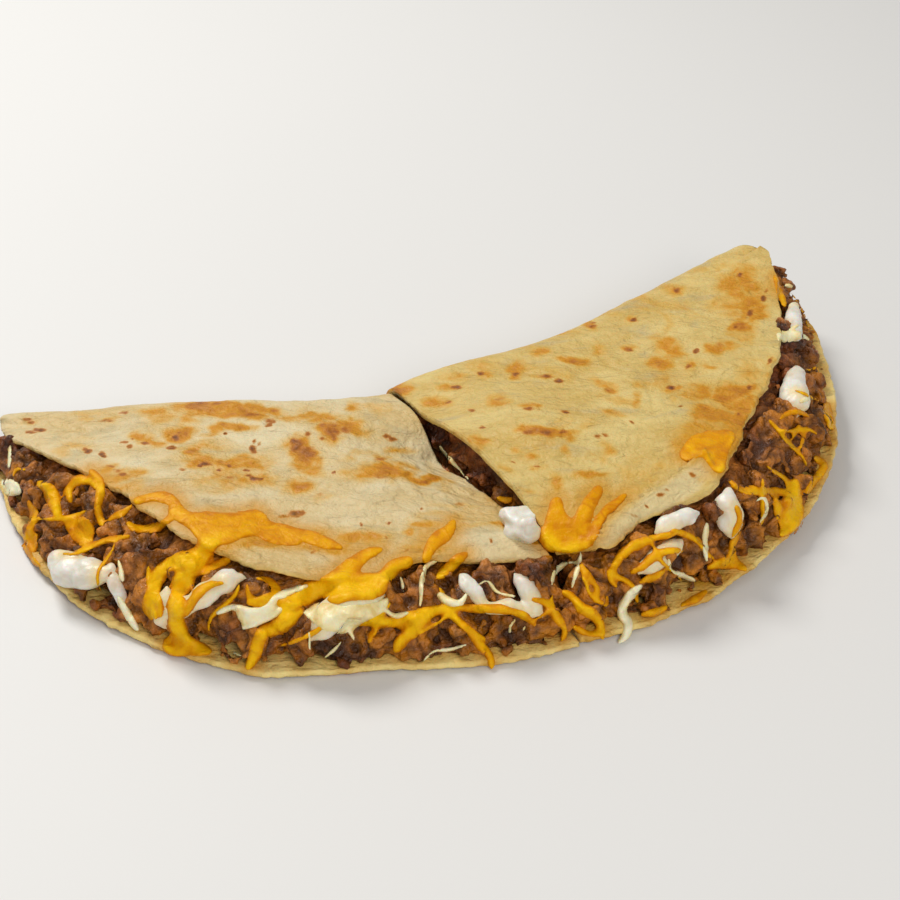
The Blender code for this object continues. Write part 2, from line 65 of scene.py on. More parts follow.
# The folded sheets, with the same section and tables as the solids.
TORTILLA_THICKNESS = 0.0019
FILLING_GAP = 0.0009
CUT_CENTRE = np.array((-0.0127, 0.0077, 0.0))
LOWER_CUT_ANGLE = 301.8
UPPER_CUT_ANGLE = 303.4
CUT_HALF_WIDTH = 0.0006
CUT_PROFILE_REACH = 0.34
FOLD_TURN_REACH = 0.20
WEDGE_END = 0.985
SLOPE_STEP = 0.02
DOME_REACH = 0.15
WAVE_REACH = 0.25
RIM_LIFT_WIDTH = 0.026
WAVE_HEIGHT = 0.0009
WAVE_LENGTH = 0.034
FOOT_INSET = 0.0055
FOOT_LIFT = 0.7
BROW_REACH = 0.0020
BROW_DROP = 0.0015
FACE_CURVE = 1.4
FACE_BULGE = 0.0020
BULGE_OUT = 0.8
BULGE_UP = 0.5

# How finely a sheet is drawn: ribs across it, and points along each rib.
RIBS = 240
LOWER_POINTS = 40
BEND_POINTS = 20
UPPER_POINTS = 90
LOWER_CROWDING = 1.5
EDGE_STEP = 4
ROLL_REACH = 0.35


@dataclass
class Wedge:
    """One half of the cut quesadilla, measured about the middle of the fold."""

    name: str
    tip_angle: float
    fold: tuple
    lower_rim: tuple
    upper_rim: tuple
    cut_profile: tuple
    dome: float
    side: float
    seed: int


# Rows of the fold: share of its length from the cut, x, y and height of its top.
# Rows of a rim: angle about the cut's centre, radius, and height above the rest plane.
# Rows of a cut profile: share of the way from the fold to the rim, and height off a straight line.
LEFT = Wedge(
    name="left",
    tip_angle=188.0,
    fold=(
        (0.0, -0.009, 0.006, 0.0168), (0.11, -0.0217, 0.0012, 0.0171),
        (0.47, -0.0626, -0.0059, 0.0187), (0.84, -0.1058, -0.0081, 0.015),
        (1.0, -0.124, -0.0072, 0.0122),
    ),
    lower_rim=(
        (188.0, 0.113, 0.0008), (206.0, 0.1102, 0.0014), (225.0, 0.1106, 0.001),
        (240.0, 0.1085, 0.0004), (256.0, 0.107, 0.0003), (270.0, 0.1008, 0.0003),
        (287.0, 0.1008, 0.0003), (301.8, 0.1035, 0.0003),
    ),
    upper_rim=(
        (188.0, 0.112, 0.0115), (203.9, 0.0959, 0.0168), (218.6, 0.0875, 0.019),
        (229.0, 0.0877, 0.0203), (246.0, 0.0905, 0.0222), (259.0, 0.089, 0.0202),
        (268.0, 0.0872, 0.0192), (279.4, 0.0786, 0.019), (291.0, 0.0812, 0.0178),
        (303.4, 0.0847, 0.016),
    ),
    cut_profile=(
        (0.0, 0.0), (0.15, 0.0004), (0.31, -0.0078), (0.5, -0.0036), (0.7, -0.0004), (0.87, 0.002),
        (1.0, 0.0),
    ),
    dome=0.0022,
    side=-1.0,
    seed=3,
)
RIGHT = Wedge(
    name="right",
    tip_angle=393.4,
    fold=(
        (0.0, -0.009, 0.006, 0.018), (0.1, 0.0026, 0.013, 0.0199), (0.27, 0.0243, 0.0234, 0.021),
        (0.49, 0.0503, 0.0399, 0.0221), (0.69, 0.0711, 0.0588, 0.0232), (1.0, 0.106, 0.0884, 0.0262),
    ),
    lower_rim=(
        (301.8, 0.1025, 0.0003), (318.0, 0.11, 0.0005), (331.0, 0.1168, 0.0022),
        (344.0, 0.1248, 0.005), (358.0, 0.132, 0.0072), (374.0, 0.1395, 0.0078),
        (386.0, 0.148, 0.008), (393.4, 0.15, 0.008),
    ),
    upper_rim=(
        (303.4, 0.0855, 0.017), (309.7, 0.0925, 0.0192), (320.7, 0.0937, 0.023),
        (329.6, 0.102, 0.025), (340.0, 0.1024, 0.0258), (352.2, 0.1049, 0.026),
        (366.3, 0.1153, 0.026), (378.2, 0.1253, 0.026), (393.4, 0.1432, 0.0262),
    ),
    cut_profile=(
        (0.0, 0.0), (0.15, 0.0005), (0.3, 0.0048), (0.45, 0.0068), (0.65, 0.0076), (0.82, 0.0068),
        (0.93, 0.003), (1.0, 0.0),
    ),
    dome=0.003,
    side=1.0,
    seed=8,
)
WEDGES = (LEFT, RIGHT)

# Relief of the baked skin: (size of its features, height).
SKIN_RELIEF = ((0.0130, 0.00050), (0.0048, 0.00022), (0.0019, 0.00010))
RIM_RELIEF = ((0.0090, 0.0009), (0.0022, 0.0005))

# Golden clouds on the upper leaves: x and y in the photograph, half width and half height, strength.
CLOUDS = {
    "left": (
        (190, 408, 22, 8, 0.85), (226, 410, 30, 7, 0.85), (160, 414, 18, 6, 0.5),
        (258, 413, 18, 5, 0.65), (275, 411, 10, 5, 0.55), (302, 417, 26, 4, 0.5),
        (145, 436, 10, 6, 0.7), (178, 433, 18, 6, 0.8), (214, 434, 13, 5, 0.75),
        (236, 428, 17, 5, 0.8), (185, 420, 11, 8, 0.55), (200, 446, 30, 5, 0.35),
        (150, 441, 14, 4, 0.5), (200, 455, 12, 7, 0.8), (206, 463, 17, 6, 0.75),
        (240, 465, 30, 8, 0.65), (255, 478, 28, 8, 0.55), (224, 478, 25, 8, 0.45),
        (232, 489, 20, 6, 0.35), (297, 448, 14, 10, 0.95), (308, 458, 16, 8, 0.9),
        (318, 467, 10, 8, 0.75), (299, 485, 13, 8, 0.7), (284, 485, 8, 6, 0.4),
        (332, 433, 12, 10, 0.9), (345, 428, 15, 7, 0.85), (359, 432, 10, 5, 0.5),
        (320, 420, 14, 6, 0.65), (356, 407, 10, 5, 0.6), (376, 408, 11, 5, 0.35),
        (382, 472, 30, 9, 0.8), (364, 470, 20, 8, 0.5), (381, 459, 11, 4, 0.65),
        (400, 474, 18, 7, 0.5), (425, 480, 14, 5, 0.8), (412, 473, 10, 7, 0.6),
        (440, 482, 12, 4, 0.4), (401, 450, 18, 3, 0.5), (360, 455, 20, 3, 0.35),
        (420, 522, 15, 4, 0.65), (405, 531, 8, 4, 0.5), (505, 525, 18, 3, 0.5),
        (470, 526, 16, 3, 0.4), (360, 535, 22, 7, 0.6), (345, 543, 14, 5, 0.4),
        (275, 539, 42, 7, 0.85), (330, 546, 26, 6, 0.65), (150, 503, 30, 5, 0.55),
        (112, 487, 24, 7, 0.55), (425, 546, 26, 6, 0.45), (228, 546, 24, 6, 0.6),
        (120, 475, 22, 6, 0.5), (110, 468, 12, 4, 0.5), (75, 446, 18, 4, 0.4), (30, 421, 9, 4, 0.3),
        (88, 481, 12, 9, 0.35), (110, 421, 10, 3, 0.4), (83, 417, 8, 3, 0.3), (60, 452, 12, 6, 0.3),
        (455, 505, 10, 3, 0.3), (320, 494, 8, 4, 0.3),
    ),
    "right": (
        (392, 391, 14, 8, 0.95), (405, 391, 10, 6, 0.65), (455, 388, 11, 5, 0.65),
        (437, 403, 9, 4, 0.6), (447, 403, 8, 4, 0.5), (497, 400, 14, 5, 0.55),
        (455, 375, 12, 4, 0.4), (482, 374, 9, 5, 0.6), (518, 367, 14, 6, 0.75),
        (517, 377, 8, 5, 0.6), (546, 376, 11, 4, 0.45), (575, 360, 15, 4, 0.7),
        (543, 352, 9, 5, 0.5), (528, 346, 9, 3, 0.35), (529, 409, 8, 4, 0.65),
        (598, 382, 10, 5, 0.45), (608, 390, 8, 6, 0.55), (600, 350, 7, 6, 0.5),
        (592, 325, 6, 6, 0.65), (633, 320, 7, 4, 0.6), (628, 349, 7, 4, 0.5), (640, 298, 13, 5, 0.5),
        (676, 290, 8, 5, 0.6), (660, 362, 13, 7, 0.75), (665, 345, 11, 8, 0.55),
        (655, 337, 8, 6, 0.4), (677, 353, 9, 8, 0.65), (688, 366, 6, 5, 0.6),
        (740, 285, 22, 20, 0.6), (733, 302, 20, 16, 0.5), (752, 310, 14, 18, 0.65),
        (738, 326, 11, 7, 0.85), (720, 345, 15, 6, 0.7), (745, 336, 10, 10, 0.45),
        (670, 388, 7, 4, 0.65), (610, 414, 15, 5, 0.5), (640, 400, 7, 5, 0.5),
        (620, 400, 17, 4, 0.35), (542, 432, 20, 5, 0.95), (560, 433, 20, 4, 0.7),
        (477, 441, 8, 6, 0.7), (515, 450, 8, 5, 0.5), (535, 455, 10, 4, 0.6), (537, 466, 6, 3, 0.5),
        (571, 438, 8, 5, 0.5), (565, 450, 6, 6, 0.4), (700, 390, 20, 9, 0.6),
        (730, 394, 20, 12, 0.8), (715, 414, 24, 12, 0.75), (740, 406, 12, 12, 0.8),
        (740, 426, 12, 14, 0.85), (698, 431, 18, 9, 0.6), (690, 445, 12, 8, 0.7),
        (736, 447, 14, 12, 0.85), (590, 474, 20, 4, 0.6), (606, 452, 6, 9, 0.5),
        (750, 388, 9, 6, 0.7), (706, 367, 11, 4, 0.5), (600, 312, 20, 5, 0.4),
        (560, 331, 20, 5, 0.35), (660, 286, 16, 5, 0.35), (700, 270, 16, 5, 0.3),
        (555, 480, 8, 7, 0.55), (525, 490, 8, 4, 0.4), (505, 470, 9, 4, 0.35),
        (640, 385, 9, 6, 0.35), (585, 425, 9, 5, 0.3), (770, 362, 6, 8, 0.4),
    ),
}
# Toasted spots, listed the same way.
SPOTS = {
    "left": (
        (297, 446, 8, 7, 0.62), (306, 453, 10, 6, 0.55), (293, 441, 3.5, 2.5, 0.8),
        (332, 430, 8, 8, 0.55), (333, 437, 4, 3, 0.7), (322, 424, 5, 4, 0.42),
        (345, 430, 7, 4, 0.48), (252, 449, 4, 4, 0.85), (254, 441, 2, 1.5, 0.7),
        (259, 444, 2, 2, 0.5), (173, 447, 5, 2, 0.85), (176, 438, 4, 2.5, 0.8),
        (180, 433, 3, 2, 0.6), (129, 447, 3, 2, 0.65), (124, 442, 3, 1.5, 0.55),
        (131, 438, 2, 1.2, 0.6), (146, 443, 4, 1.5, 0.7), (205, 464, 7, 2.2, 0.85),
        (199, 466, 3, 1.5, 0.8), (226, 434, 2, 1.4, 0.9), (220, 470, 2, 1.4, 0.9),
        (229, 465, 2, 1.4, 0.9), (245, 471, 4, 1.4, 0.8), (250, 475, 4, 1.4, 0.8),
        (254, 479, 3, 2.2, 0.9), (260, 480, 3, 1.4, 0.8), (182, 470, 4, 1.6, 0.55),
        (103, 453, 3, 2, 0.8), (105, 456, 3, 1.6, 0.8), (88, 451, 4, 2, 0.8), (84, 449, 3, 1.5, 0.6),
        (110, 467, 4, 1.6, 0.5), (118, 471, 4, 2, 0.6), (123, 475, 4, 2, 0.6), (27, 420, 4, 2, 0.6),
        (30, 423, 3, 1.5, 0.6), (39, 430, 6, 2, 0.75), (31, 433, 5, 1.6, 0.6),
        (123, 413, 5, 1.5, 0.6), (200, 404, 9, 2.5, 0.5), (216, 404, 6, 1.6, 0.65),
        (190, 406, 4, 2, 0.5), (250, 415, 13, 2.4, 0.5), (270, 422, 5, 2, 0.6),
        (267, 426, 3, 1.6, 0.7), (275, 410, 4, 2.5, 0.5), (106, 421, 8, 2, 0.45),
        (308, 434, 3, 2.2, 0.65), (322, 438, 2, 1.5, 0.6), (386, 436, 4, 2, 0.7),
        (392, 439, 4, 2, 0.7), (334, 473, 2.2, 1.6, 0.8), (320, 494, 3, 2, 0.42),
        (293, 514, 6, 2.5, 0.88), (300, 513, 5, 1.6, 0.7), (284, 516, 4, 1.6, 0.7),
        (425, 482, 6, 2.5, 0.5), (381, 459, 7, 2, 0.48), (287, 527, 2.6, 1.2, 0.8),
        (295, 544, 2, 1.3, 0.7), (310, 548, 2, 1.6, 0.85), (313, 553, 2, 1.6, 0.85),
        (318, 550, 2, 1.5, 0.8), (327, 549, 1.6, 1.1, 0.7), (363, 525, 2, 1.1, 0.7),
        (388, 522, 2.6, 1.1, 0.7), (385, 538, 2, 1.2, 0.9), (405, 550, 2.6, 1.3, 0.7),
        (490, 541, 1.7, 3, 0.7), (458, 505, 5, 1.5, 0.5), (530, 540, 6, 2.5, 0.75),
        (536, 543, 4, 2, 0.7), (422, 509, 1.6, 1.1, 0.6), (503, 524, 2, 1.5, 0.6),
        (382, 476, 8, 3, 0.36), (229, 477, 5, 1.5, 0.4),
    ),
    "right": (
        (456, 388, 5, 2, 0.85), (447, 403, 4, 2, 0.6), (500, 399, 6, 2, 0.42),
        (481, 373, 3, 2, 0.75), (517, 375, 3.4, 1.8, 0.7), (547, 376, 4, 2, 0.7),
        (558, 381, 4, 2, 0.8), (564, 412, 3, 1.8, 0.9), (529, 409, 5, 2, 0.7),
        (592, 325, 2.6, 3, 0.7), (633, 320, 3.6, 2, 0.75), (628, 349, 4, 2.5, 0.6),
        (472, 411, 3, 1.5, 0.65), (482, 427, 2.6, 1.6, 0.95), (633, 423, 1.9, 1.3, 1.0),
        (598, 437, 4, 1.8, 0.8), (607, 435, 3, 1.6, 0.8), (530, 433, 6, 3, 0.6),
        (545, 432, 6, 3.5, 0.62), (563, 432, 6, 2, 0.65), (537, 466, 3, 1.5, 0.6),
        (513, 463, 1.5, 1.1, 0.8), (676, 290, 3.6, 2.5, 0.65), (765, 298, 3, 3, 0.85),
        (750, 313, 3, 3.5, 0.7), (740, 275, 2.6, 2.5, 0.75), (736, 327, 4, 2.5, 0.6),
        (696, 351, 3, 2.4, 1.0), (670, 388, 4, 2, 0.8), (688, 366, 2.6, 2.5, 0.6),
        (609, 390, 4, 2.5, 0.5), (749, 388, 2.2, 3, 0.75), (734, 432, 2.6, 2.5, 0.9),
        (738, 414, 2, 2, 0.7), (681, 406, 2, 1.3, 0.7), (694, 475, 4, 2, 0.9),
        (684, 478, 2.6, 1.3, 0.7), (770, 361, 2, 4, 0.6), (575, 361, 5, 2, 0.45),
        (767, 290, 2, 2, 0.6), (660, 494, 4, 1.3, 0.7), (668, 491, 2, 1.1, 0.7),
        (646, 506, 2, 1.3, 0.7), (636, 517, 2, 1.6, 0.6), (660, 364, 5, 3, 0.36),
        (720, 345, 6, 3, 0.34), (545, 376, 8, 1.5, 0.4), (613, 391, 3, 3, 0.4),
    ),
}
SPOT_RAGGEDNESS = ((0.0050, 0.0009), (0.0016, 0.0005))
CLOUD_RAGGEDNESS = ((0.0080, 0.0030), (0.0026, 0.0012))

# Creases of the upper leaves, as lines through the photograph, and their depth and half width.
CREASES = (
    ((437, 461), (412, 457), (385, 454), (352, 454)),
    ((480, 490), (455, 480), (430, 470), (410, 465)),
    ((500, 506), (470, 497), (440, 488), (420, 486)),
    ((395, 478), (402, 486), (408, 492), (396, 497)),
    ((330, 520), (352, 523), (375, 514), (405, 513)), ((60, 425), (90, 432), (120, 430)),
    ((140, 460), (165, 462), (190, 458)), ((150, 477), (180, 475), (205, 477)),
    ((210, 500), (240, 508), (270, 505)), ((460, 515), (490, 518), (520, 526)),
    ((250, 430), (275, 434), (300, 428)), ((597, 350), (607, 364), (625, 372)),
    ((500, 405), (488, 413), (500, 420)), ((560, 400), (590, 398), (615, 388)),
    ((640, 372), (652, 392), (655, 415)), ((770, 352), (745, 356), (715, 352)),
    ((600, 455), (640, 452), (672, 456)),
)
CREASE_DEPTH = 0.00045
CREASE_HALF_WIDTH = 3.0

# The torn flap at the front of the right leaf: the slit behind it, and its outline.
SLIT = ((592, 541), (612, 519), (640, 498), (668, 480), (690, 464), (704, 452))
FLAP = (*SLIT, (716, 470), (700, 492), (668, 512), (640, 530), (612, 546), (596, 552))
FLAP_RISE = 0.0017
FLAP_REACH = 26.0
FLAP_FADE = 4.0

# How a mark fades from its middle, and the seeds that make its outline ragged.
MARK_STEEPNESS = 1.5
MARK_FALL = 0.7
MARK_SEEDS = (3.0, 31.0)
RELIEF_OFFSET = 7.0

# Marks scattered over the lower leaf and the fold.
HIDDEN_MARKS = 70
HIDDEN_RADII = (0.002, 0.006)
HIDDEN_RAGGEDNESS = (0.0040, 0.0022)
HIDDEN_STRENGTHS = (0.4, 0.9)
HIDDEN_TOAST = 0.8

# The filling: the same crumbles and ribbons as the solids, then smaller crumbs between them.
BEEF_SEED = 11
BEEF_SPACING = 0.0108
BEEF_SIZES = (0.0046, 0.0078)
BEEF_BUMPS = 0.42
BEEF_PACES = (0.75, 1.2)
LUMP_WIDTHS = ((0.85, 1.25), (0.8, 1.1), (0.7, 0.95))
LUMP_NOISE = 1.5
NOISE_SPAN = 90
BEEF_DEPTH = 0.35
BEEF_NARROWING = 0.25
BEEF_ROWS = ((0.14, 0.42), (0.62, 0.88))
FIRST_CHUNK, LAST_CHUNK = 0.03, 0.975
CUT_CRUMBS = 7
CUT_CRUMB_REACH = 0.55
CUT_CRUMB_LEVELS = (0.4, 0.6)
CUT_CRUMB_DEPTH = 0.9
CRUMBS_PER_WEDGE = 120
CRUMB_SIZES = (0.0012, 0.0036)
# Clumps and the cracks between them, then the grain of the meat, and how dark the painted shade shows in
# its grain pits and cracks.
CLUMP_SIZE = 0.0095
CRACK_WIDTH = 0.13
CRACK_BEND = 0.22
CRACK_BEND_SIZE = 0.0035
CRACK_DEPTH = 0.0011
GRAIN_SIZE = 0.0026
GRAIN_HEIGHT = 0.0009
GRAIN_LEVEL = 0.30
FINE_GRAIN_SIZE = 0.00117
FINE_GRAIN_HEIGHT = 0.000252
PROUDEST_GRAIN = 0.00027
GRAIN_SHADE_START, GRAIN_SHADE_SPAN = 0.45, 0.45
DARKEST_GRAIN_SHADE = 0.8
DARKEST_CRACK_SHADE = 0.9
CRUMBLE_TONES = (0.12, 0.92)
# Crumbs that have rolled on to the lower leaf, and where the loose ones lie on the face.
RIM_CRUMBS = 80
RIM_CRUMB_SIZES = (0.0009, 0.0026)
RIM_CRUMB_PLACES = (0.01, 0.97)
RIM_CRUMB_INSET = 0.0016
RIM_CRUMB_SEAT = 0.6
CRUMB_SKEW = 1.6
CRUMB_SHARES = (0.0, 0.98)
CRUMB_PROUD = (-0.0010, 0.0012)
CRUMB_PLACES = (0.01, 0.99)
CRUMBLE_DETAIL, CUT_CRUMB_DETAIL, CRUMB_DETAIL = 4, 3, 2
CRUMBLE_VOXEL = 0.00064
LEAF_CHECK_HEIGHT = 0.014
LEAF_CLEARANCE = 0.00114
# How widely a hollow is measured, and the depth at which the painted shade in it is darkest.
CAVITY_ROUNDS = 60
CAVITY_DEPTH = 0.0008
BASE_INSET = 0.0007
BASE_VOXEL = 0.0010

# Sour cream: its ribbons' section and ends, and the dollop at the cut.
CREAM_PROUD = 0.0030
CREAM_END_REACH = 0.35
CREAM_ENDS = 0.35
CREAM_WOBBLE = 0.22
CREAM_WOBBLE_SIZE = 0.004
CREAM_SOFTENING = 5
CREAM_RELIEF = ((0.0045, 0.00075), (0.0018, 0.00022))
NARROWEST = 0.03
CREAM_FLATNESS = 0.75
CREAM_STEPS = 9
CREAM_SIDES = 18
CREAM_VOXEL = 0.00055
CUT_CREAM_SHARE = 0.87
CUT_CREAM_ASIDE = 0.0022
CUT_CREAM_HEIGHT = 0.0195
CUT_CREAM_RADII = (0.0054, 0.0048, 0.0036)
CUT_CREAM_DENTS = 0.42
CUT_CREAM_NOISE = 1.4
CUT_CREAM_SEAT = (4.0, 2.0, 7.0)
CUT_CREAM_SQUARENESS = 0.78

# Each pool of sour cream: its ribbons' stops of (place along the wedge, share up the face), and widths.
CREAM_POOLS = (
    (
        "cream_left_1",
        LEFT,
        (
            (((0.715, 0.10), (0.67, 0.20), (0.632, 0.40)), 0.0100),
            (((0.640, 0.50), (0.612, 0.33), (0.580, 0.06)), 0.0042),
        ),
    ),
    (
        "cream_left_2",
        LEFT,
        (
            (((0.470, 0.96), (0.486, 0.88), (0.504, 0.55), (0.530, 0.25)), 0.0072),
            (((0.546, 0.53), (0.536, 0.30), (0.522, 0.10)), 0.0056),
        ),
    ),
    (
        "cream_left_3",
        LEFT,
        (
            (((0.280, 0.92), (0.312, 0.88), (0.345, 0.84)), 0.0082),
            (((0.312, 0.88), (0.336, 0.66), (0.346, 0.40)), 0.0080),
        ),
    ),
    (
        "cream_left_4",
        LEFT,
        (
            (((0.150, 0.96), (0.138, 0.84), (0.120, 0.60)), 0.0046),
            (((0.120, 0.60), (0.084, 0.56), (0.050, 0.42)), 0.0050),
            (((0.066, 0.96), (0.056, 0.80), (0.046, 0.45)), 0.0056),
        ),
    ),
    ("cream_right_1", RIGHT, ((((0.180, 0.94), (0.212, 0.97), (0.246, 0.98)), 0.0062),)),
    ("cream_right_2", RIGHT, ((((0.318, 0.98), (0.302, 0.86), (0.288, 0.56)), 0.0080),)),
    ("cream_right_3", RIGHT, ((((0.200, 0.72), (0.160, 0.70), (0.118, 0.66)), 0.0064),)),
    ("cream_right_4", RIGHT, ((((0.700, 0.90), (0.640, 0.82), (0.600, 0.74)), 0.0090),)),
    ("cream_right_5", RIGHT, ((((0.880, 0.90), (0.830, 0.94), (0.790, 0.90)), 0.0048),)),
)

# Melted cheddar: each strand's width in pixels, then its way through the photograph.
CHEDDAR = (
    (11, ((38, 484), (48, 488), (54, 503), (59, 517))),
    (8, ((71, 503), (69, 490), (77, 481), (88, 481), (96, 487))),
    (9, ((90, 470), (99, 480), (100, 494), (98, 507), (102, 526))),
    (6, ((132, 505), (122, 513), (113, 517), (107, 522))),
    (10, ((134, 502), (145, 498), (160, 497), (172, 500), (181, 509))),
    (7, ((126, 522), (134, 528), (147, 529), (163, 524), (172, 517), (184, 515))),
    (16, ((172, 510), (190, 519), (210, 525), (240, 524), (262, 518))),
    (15, ((196, 530), (214, 536), (236, 531), (258, 527), (266, 521))),
    (14, ((214, 536), (208, 548), (198, 557), (182, 560), (168, 564))),
    (13, ((168, 564), (158, 576), (153, 592), (149, 607), (154, 618))),
    (14, ((204, 560), (186, 576), (178, 592), (176, 610), (180, 630), (190, 643))),
    (8, ((224, 583), (210, 585), (197, 595), (190, 607), (186, 616))),
    (7, ((230, 559), (214, 566), (201, 575))), (9, ((170, 622), (180, 635), (195, 646), (211, 652))),
    (9, ((164, 645), (172, 651), (184, 652))),
    (7, ((247, 582), (248, 593), (256, 604), (271, 601), (276, 589), (268, 580), (254, 578))),
    (9, ((247, 603), (268, 599), (287, 599), (302, 603))),
    (12, ((302, 611), (287, 621), (275, 628), (264, 633), (258, 642), (254, 656), (247, 669))),
    (9, ((295, 532), (310, 536), (324, 543), (338, 547))),
    (15, ((382, 549), (366, 555), (353, 565), (337, 578), (328, 586), (308, 593), (292, 602), (280, 617))),
    (14, ((411, 560), (395, 566), (383, 578), (366, 586), (352, 587))),
    (12, ((454, 520), (448, 532), (437, 540), (429, 551), (425, 562))),
    (9, ((468, 553), (456, 561), (446, 570), (437, 578))),
    (10, ((385, 608), (372, 618), (357, 619), (343, 612))),
    (11, ((352, 617), (372, 620), (387, 622), (410, 618), (429, 612), (445, 610), (458, 620))),
    (11, ((429, 612), (418, 627), (403, 639), (395, 651))),
    (8, ((445, 608), (462, 608), (487, 609), (510, 611), (528, 618), (536, 626))),
    (8, ((458, 620), (471, 633), (481, 646), (490, 656), (492, 670))),
    (7, ((531, 599), (548, 604), (557, 617), (565, 632), (561, 642))),
    (6, ((496, 497), (505, 500), (513, 499))), (5, ((372, 631), (369, 643))),
    (14, ((557, 500), (555, 512), (553, 525), (550, 538), (562, 545), (577, 548))),
    (14, ((560, 528), (568, 540), (586, 545))),
    (10, ((599, 487), (588, 501), (581, 517), (575, 534))),
    (9, ((627, 494), (617, 502), (605, 512), (597, 526), (592, 541))),
    (11, ((236, 520), (262, 527), (290, 533), (318, 540), (343, 548))),
    (8, ((258, 534), (280, 541), (300, 543))),
    (17, ((731, 437), (716, 440), (697, 446), (684, 456))),
    (12, ((709, 456), (716, 463), (722, 470))),
    (8, ((675, 534), (659, 537), (643, 542), (628, 550), (616, 563), (611, 578), (617, 588))),
    (8, ((683, 551), (667, 551), (654, 557), (642, 567), (630, 573))),
    (7, ((736, 505), (740, 518), (736, 534), (732, 550), (734, 561), (742, 571))),
    (7, ((728, 479), (740, 489), (756, 491), (775, 491), (791, 493))),
    (8, ((775, 497), (779, 511), (783, 525))),
    (14, ((795, 481), (793, 497), (795, 511), (790, 525), (781, 535))),
    (4, ((800, 424), (796, 432), (791, 441))), (4, ((806, 426), (802, 443), (799, 452))),
    (9, ((562, 591), (573, 598), (581, 608), (595, 616), (601, 627), (603, 641))),
    (6, ((577, 559), (587, 575), (597, 589), (595, 603))), (6, ((665, 571), (654, 577), (638, 583))),
    (9, ((707, 568), (724, 563), (740, 565), (747, 571))), (5, ((607, 595), (606, 606))),
    (7, ((573, 626), (589, 634), (605, 632))), (7, ((775, 274), (778, 287), (782, 297), (785, 307))),
    (5, ((779, 420), (787, 414), (799, 412), (810, 417))), (9, ((826, 403), (828, 414), (832, 429))),
    (7, ((814, 457), (824, 464), (815, 480), (806, 494))),
    (6, ((27, 500), (34, 512), (30, 528), (24, 541))), (8, ((75, 522), (88, 530), (84, 545))),
    (6, ((22, 545), (30, 556), (41, 568))), (6, ((640, 615), (655, 612), (668, 606))),
    (6, ((680, 606), (697, 598), (708, 590))),
)

# Melted white cheese, listed the same way.
JACK = (
    (9, ((118, 596), (124, 608), (131, 620), (138, 631))), (6, ((10, 444), (10, 455), (9, 469))),
    (12, ((3, 481), (12, 487), (20, 493))), (6, ((118, 559), (121, 571), (123, 583))),
    (8, ((216, 614), (233, 607), (254, 612), (268, 608), (276, 597), (293, 589))),
    (7, ((241, 629), (254, 624), (268, 618), (283, 608))), (5, ((231, 652), (247, 658))),
    (7, ((280, 598), (292, 591), (309, 585))), (5, ((347, 626), (353, 637), (355, 642))),
    (5, ((399, 574), (402, 582), (403, 593))),
    (6, ((439, 560), (427, 566), (422, 581), (421, 597), (420, 608))),
    (8, ((437, 593), (448, 601), (460, 603), (467, 593))), (6, ((383, 608), (395, 616), (410, 612))),
    (5, ((475, 587), (487, 581), (496, 591), (517, 597))), (5, ((517, 618), (510, 627), (510, 635))),
    (4, ((527, 624), (521, 633))), (5, ((471, 643), (452, 649), (433, 652), (422, 662))),
    (5, ((343, 639), (334, 650), (322, 660))), (6, ((552, 587), (554, 575), (562, 565), (577, 562))),
    (6, ((582, 548), (577, 570), (571, 590))), (5, ((309, 631), (310, 652))),
    (11, ((642, 585), (628, 598), (622, 612), (628, 624), (626, 636), (617, 645))),
    (5, ((668, 557), (671, 571))), (7, ((672, 571), (684, 576), (696, 581))),
    (7, ((707, 522), (705, 543), (707, 563))), (5, ((752, 503), (764, 498), (767, 508), (758, 526))),
    (6, ((779, 336), (793, 334), (802, 336), (812, 342))), (4, ((787, 330), (798, 325), (808, 320))),
    (6, ((799, 403), (805, 399), (815, 400))), (5, ((785, 285), (793, 287))),
    (5, ((437, 442), (447, 456), (458, 468), (470, 481))),
)

# Melted cheddar that has spread flat: each pool's thickness and its outline in the photograph.
POOLS = (
    (0.0005, (
        (171, 512), (186, 517), (206, 511), (230, 513), (254, 509), (267, 515), (263, 527),
        (247, 533), (231, 541), (221, 538), (214, 546), (207, 560), (192, 564), (184, 557),
        (196, 547), (199, 535), (186, 527), (178, 520),
    )),
    (0.0005, (
        (551, 502), (560, 499), (566, 513), (577, 519), (588, 500), (599, 487), (604, 492),
        (595, 510), (589, 527), (594, 544), (578, 552), (560, 550), (547, 545), (548, 522),
    )),
    (0.0005, (
        (682, 458), (690, 447), (704, 440), (718, 432), (731, 431), (734, 438), (729, 455),
        (722, 468), (714, 464), (704, 455), (692, 453),
    )),
    (0.0007, (
        (324, 590), (345, 577), (366, 572), (385, 578), (387, 590), (374, 600), (352, 601),
        (338, 605), (328, 601),
    )),
    (0.0004, (
        (163, 640), (175, 633), (192, 640), (212, 650), (197, 657), (176, 654),
    )),
    (0.0004, (
        (786, 486), (798, 484), (800, 505), (794, 524), (784, 528), (786, 506),
    )),
    (0.0004, (
        (62, 520), (76, 514), (90, 520), (94, 534), (86, 546), (72, 540),
    )),
    (0.0004, (
        (26, 528), (38, 534), (36, 552), (26, 548),
    )),
    (0.0004, (
        (256, 600), (276, 594), (292, 596), (286, 606), (268, 609),
    )),
)
# White cheese that has spread flat, listed the same way.
PALE_POOLS = (
    (0.0003, (
        (303, 612), (320, 602), (345, 605), (370, 603), (389, 598), (384, 612), (366, 621),
        (346, 633), (325, 631), (311, 622),
    )),
    (0.0004, (
        (236, 612), (256, 608), (280, 607), (278, 616), (258, 622), (242, 624),
    )),
    (0.0004, (
        (776, 332), (796, 330), (806, 336), (792, 342), (778, 342),
    )),
    (0.0004, (
        (2, 478), (14, 480), (20, 490), (10, 497), (2, 492),
    )),
)

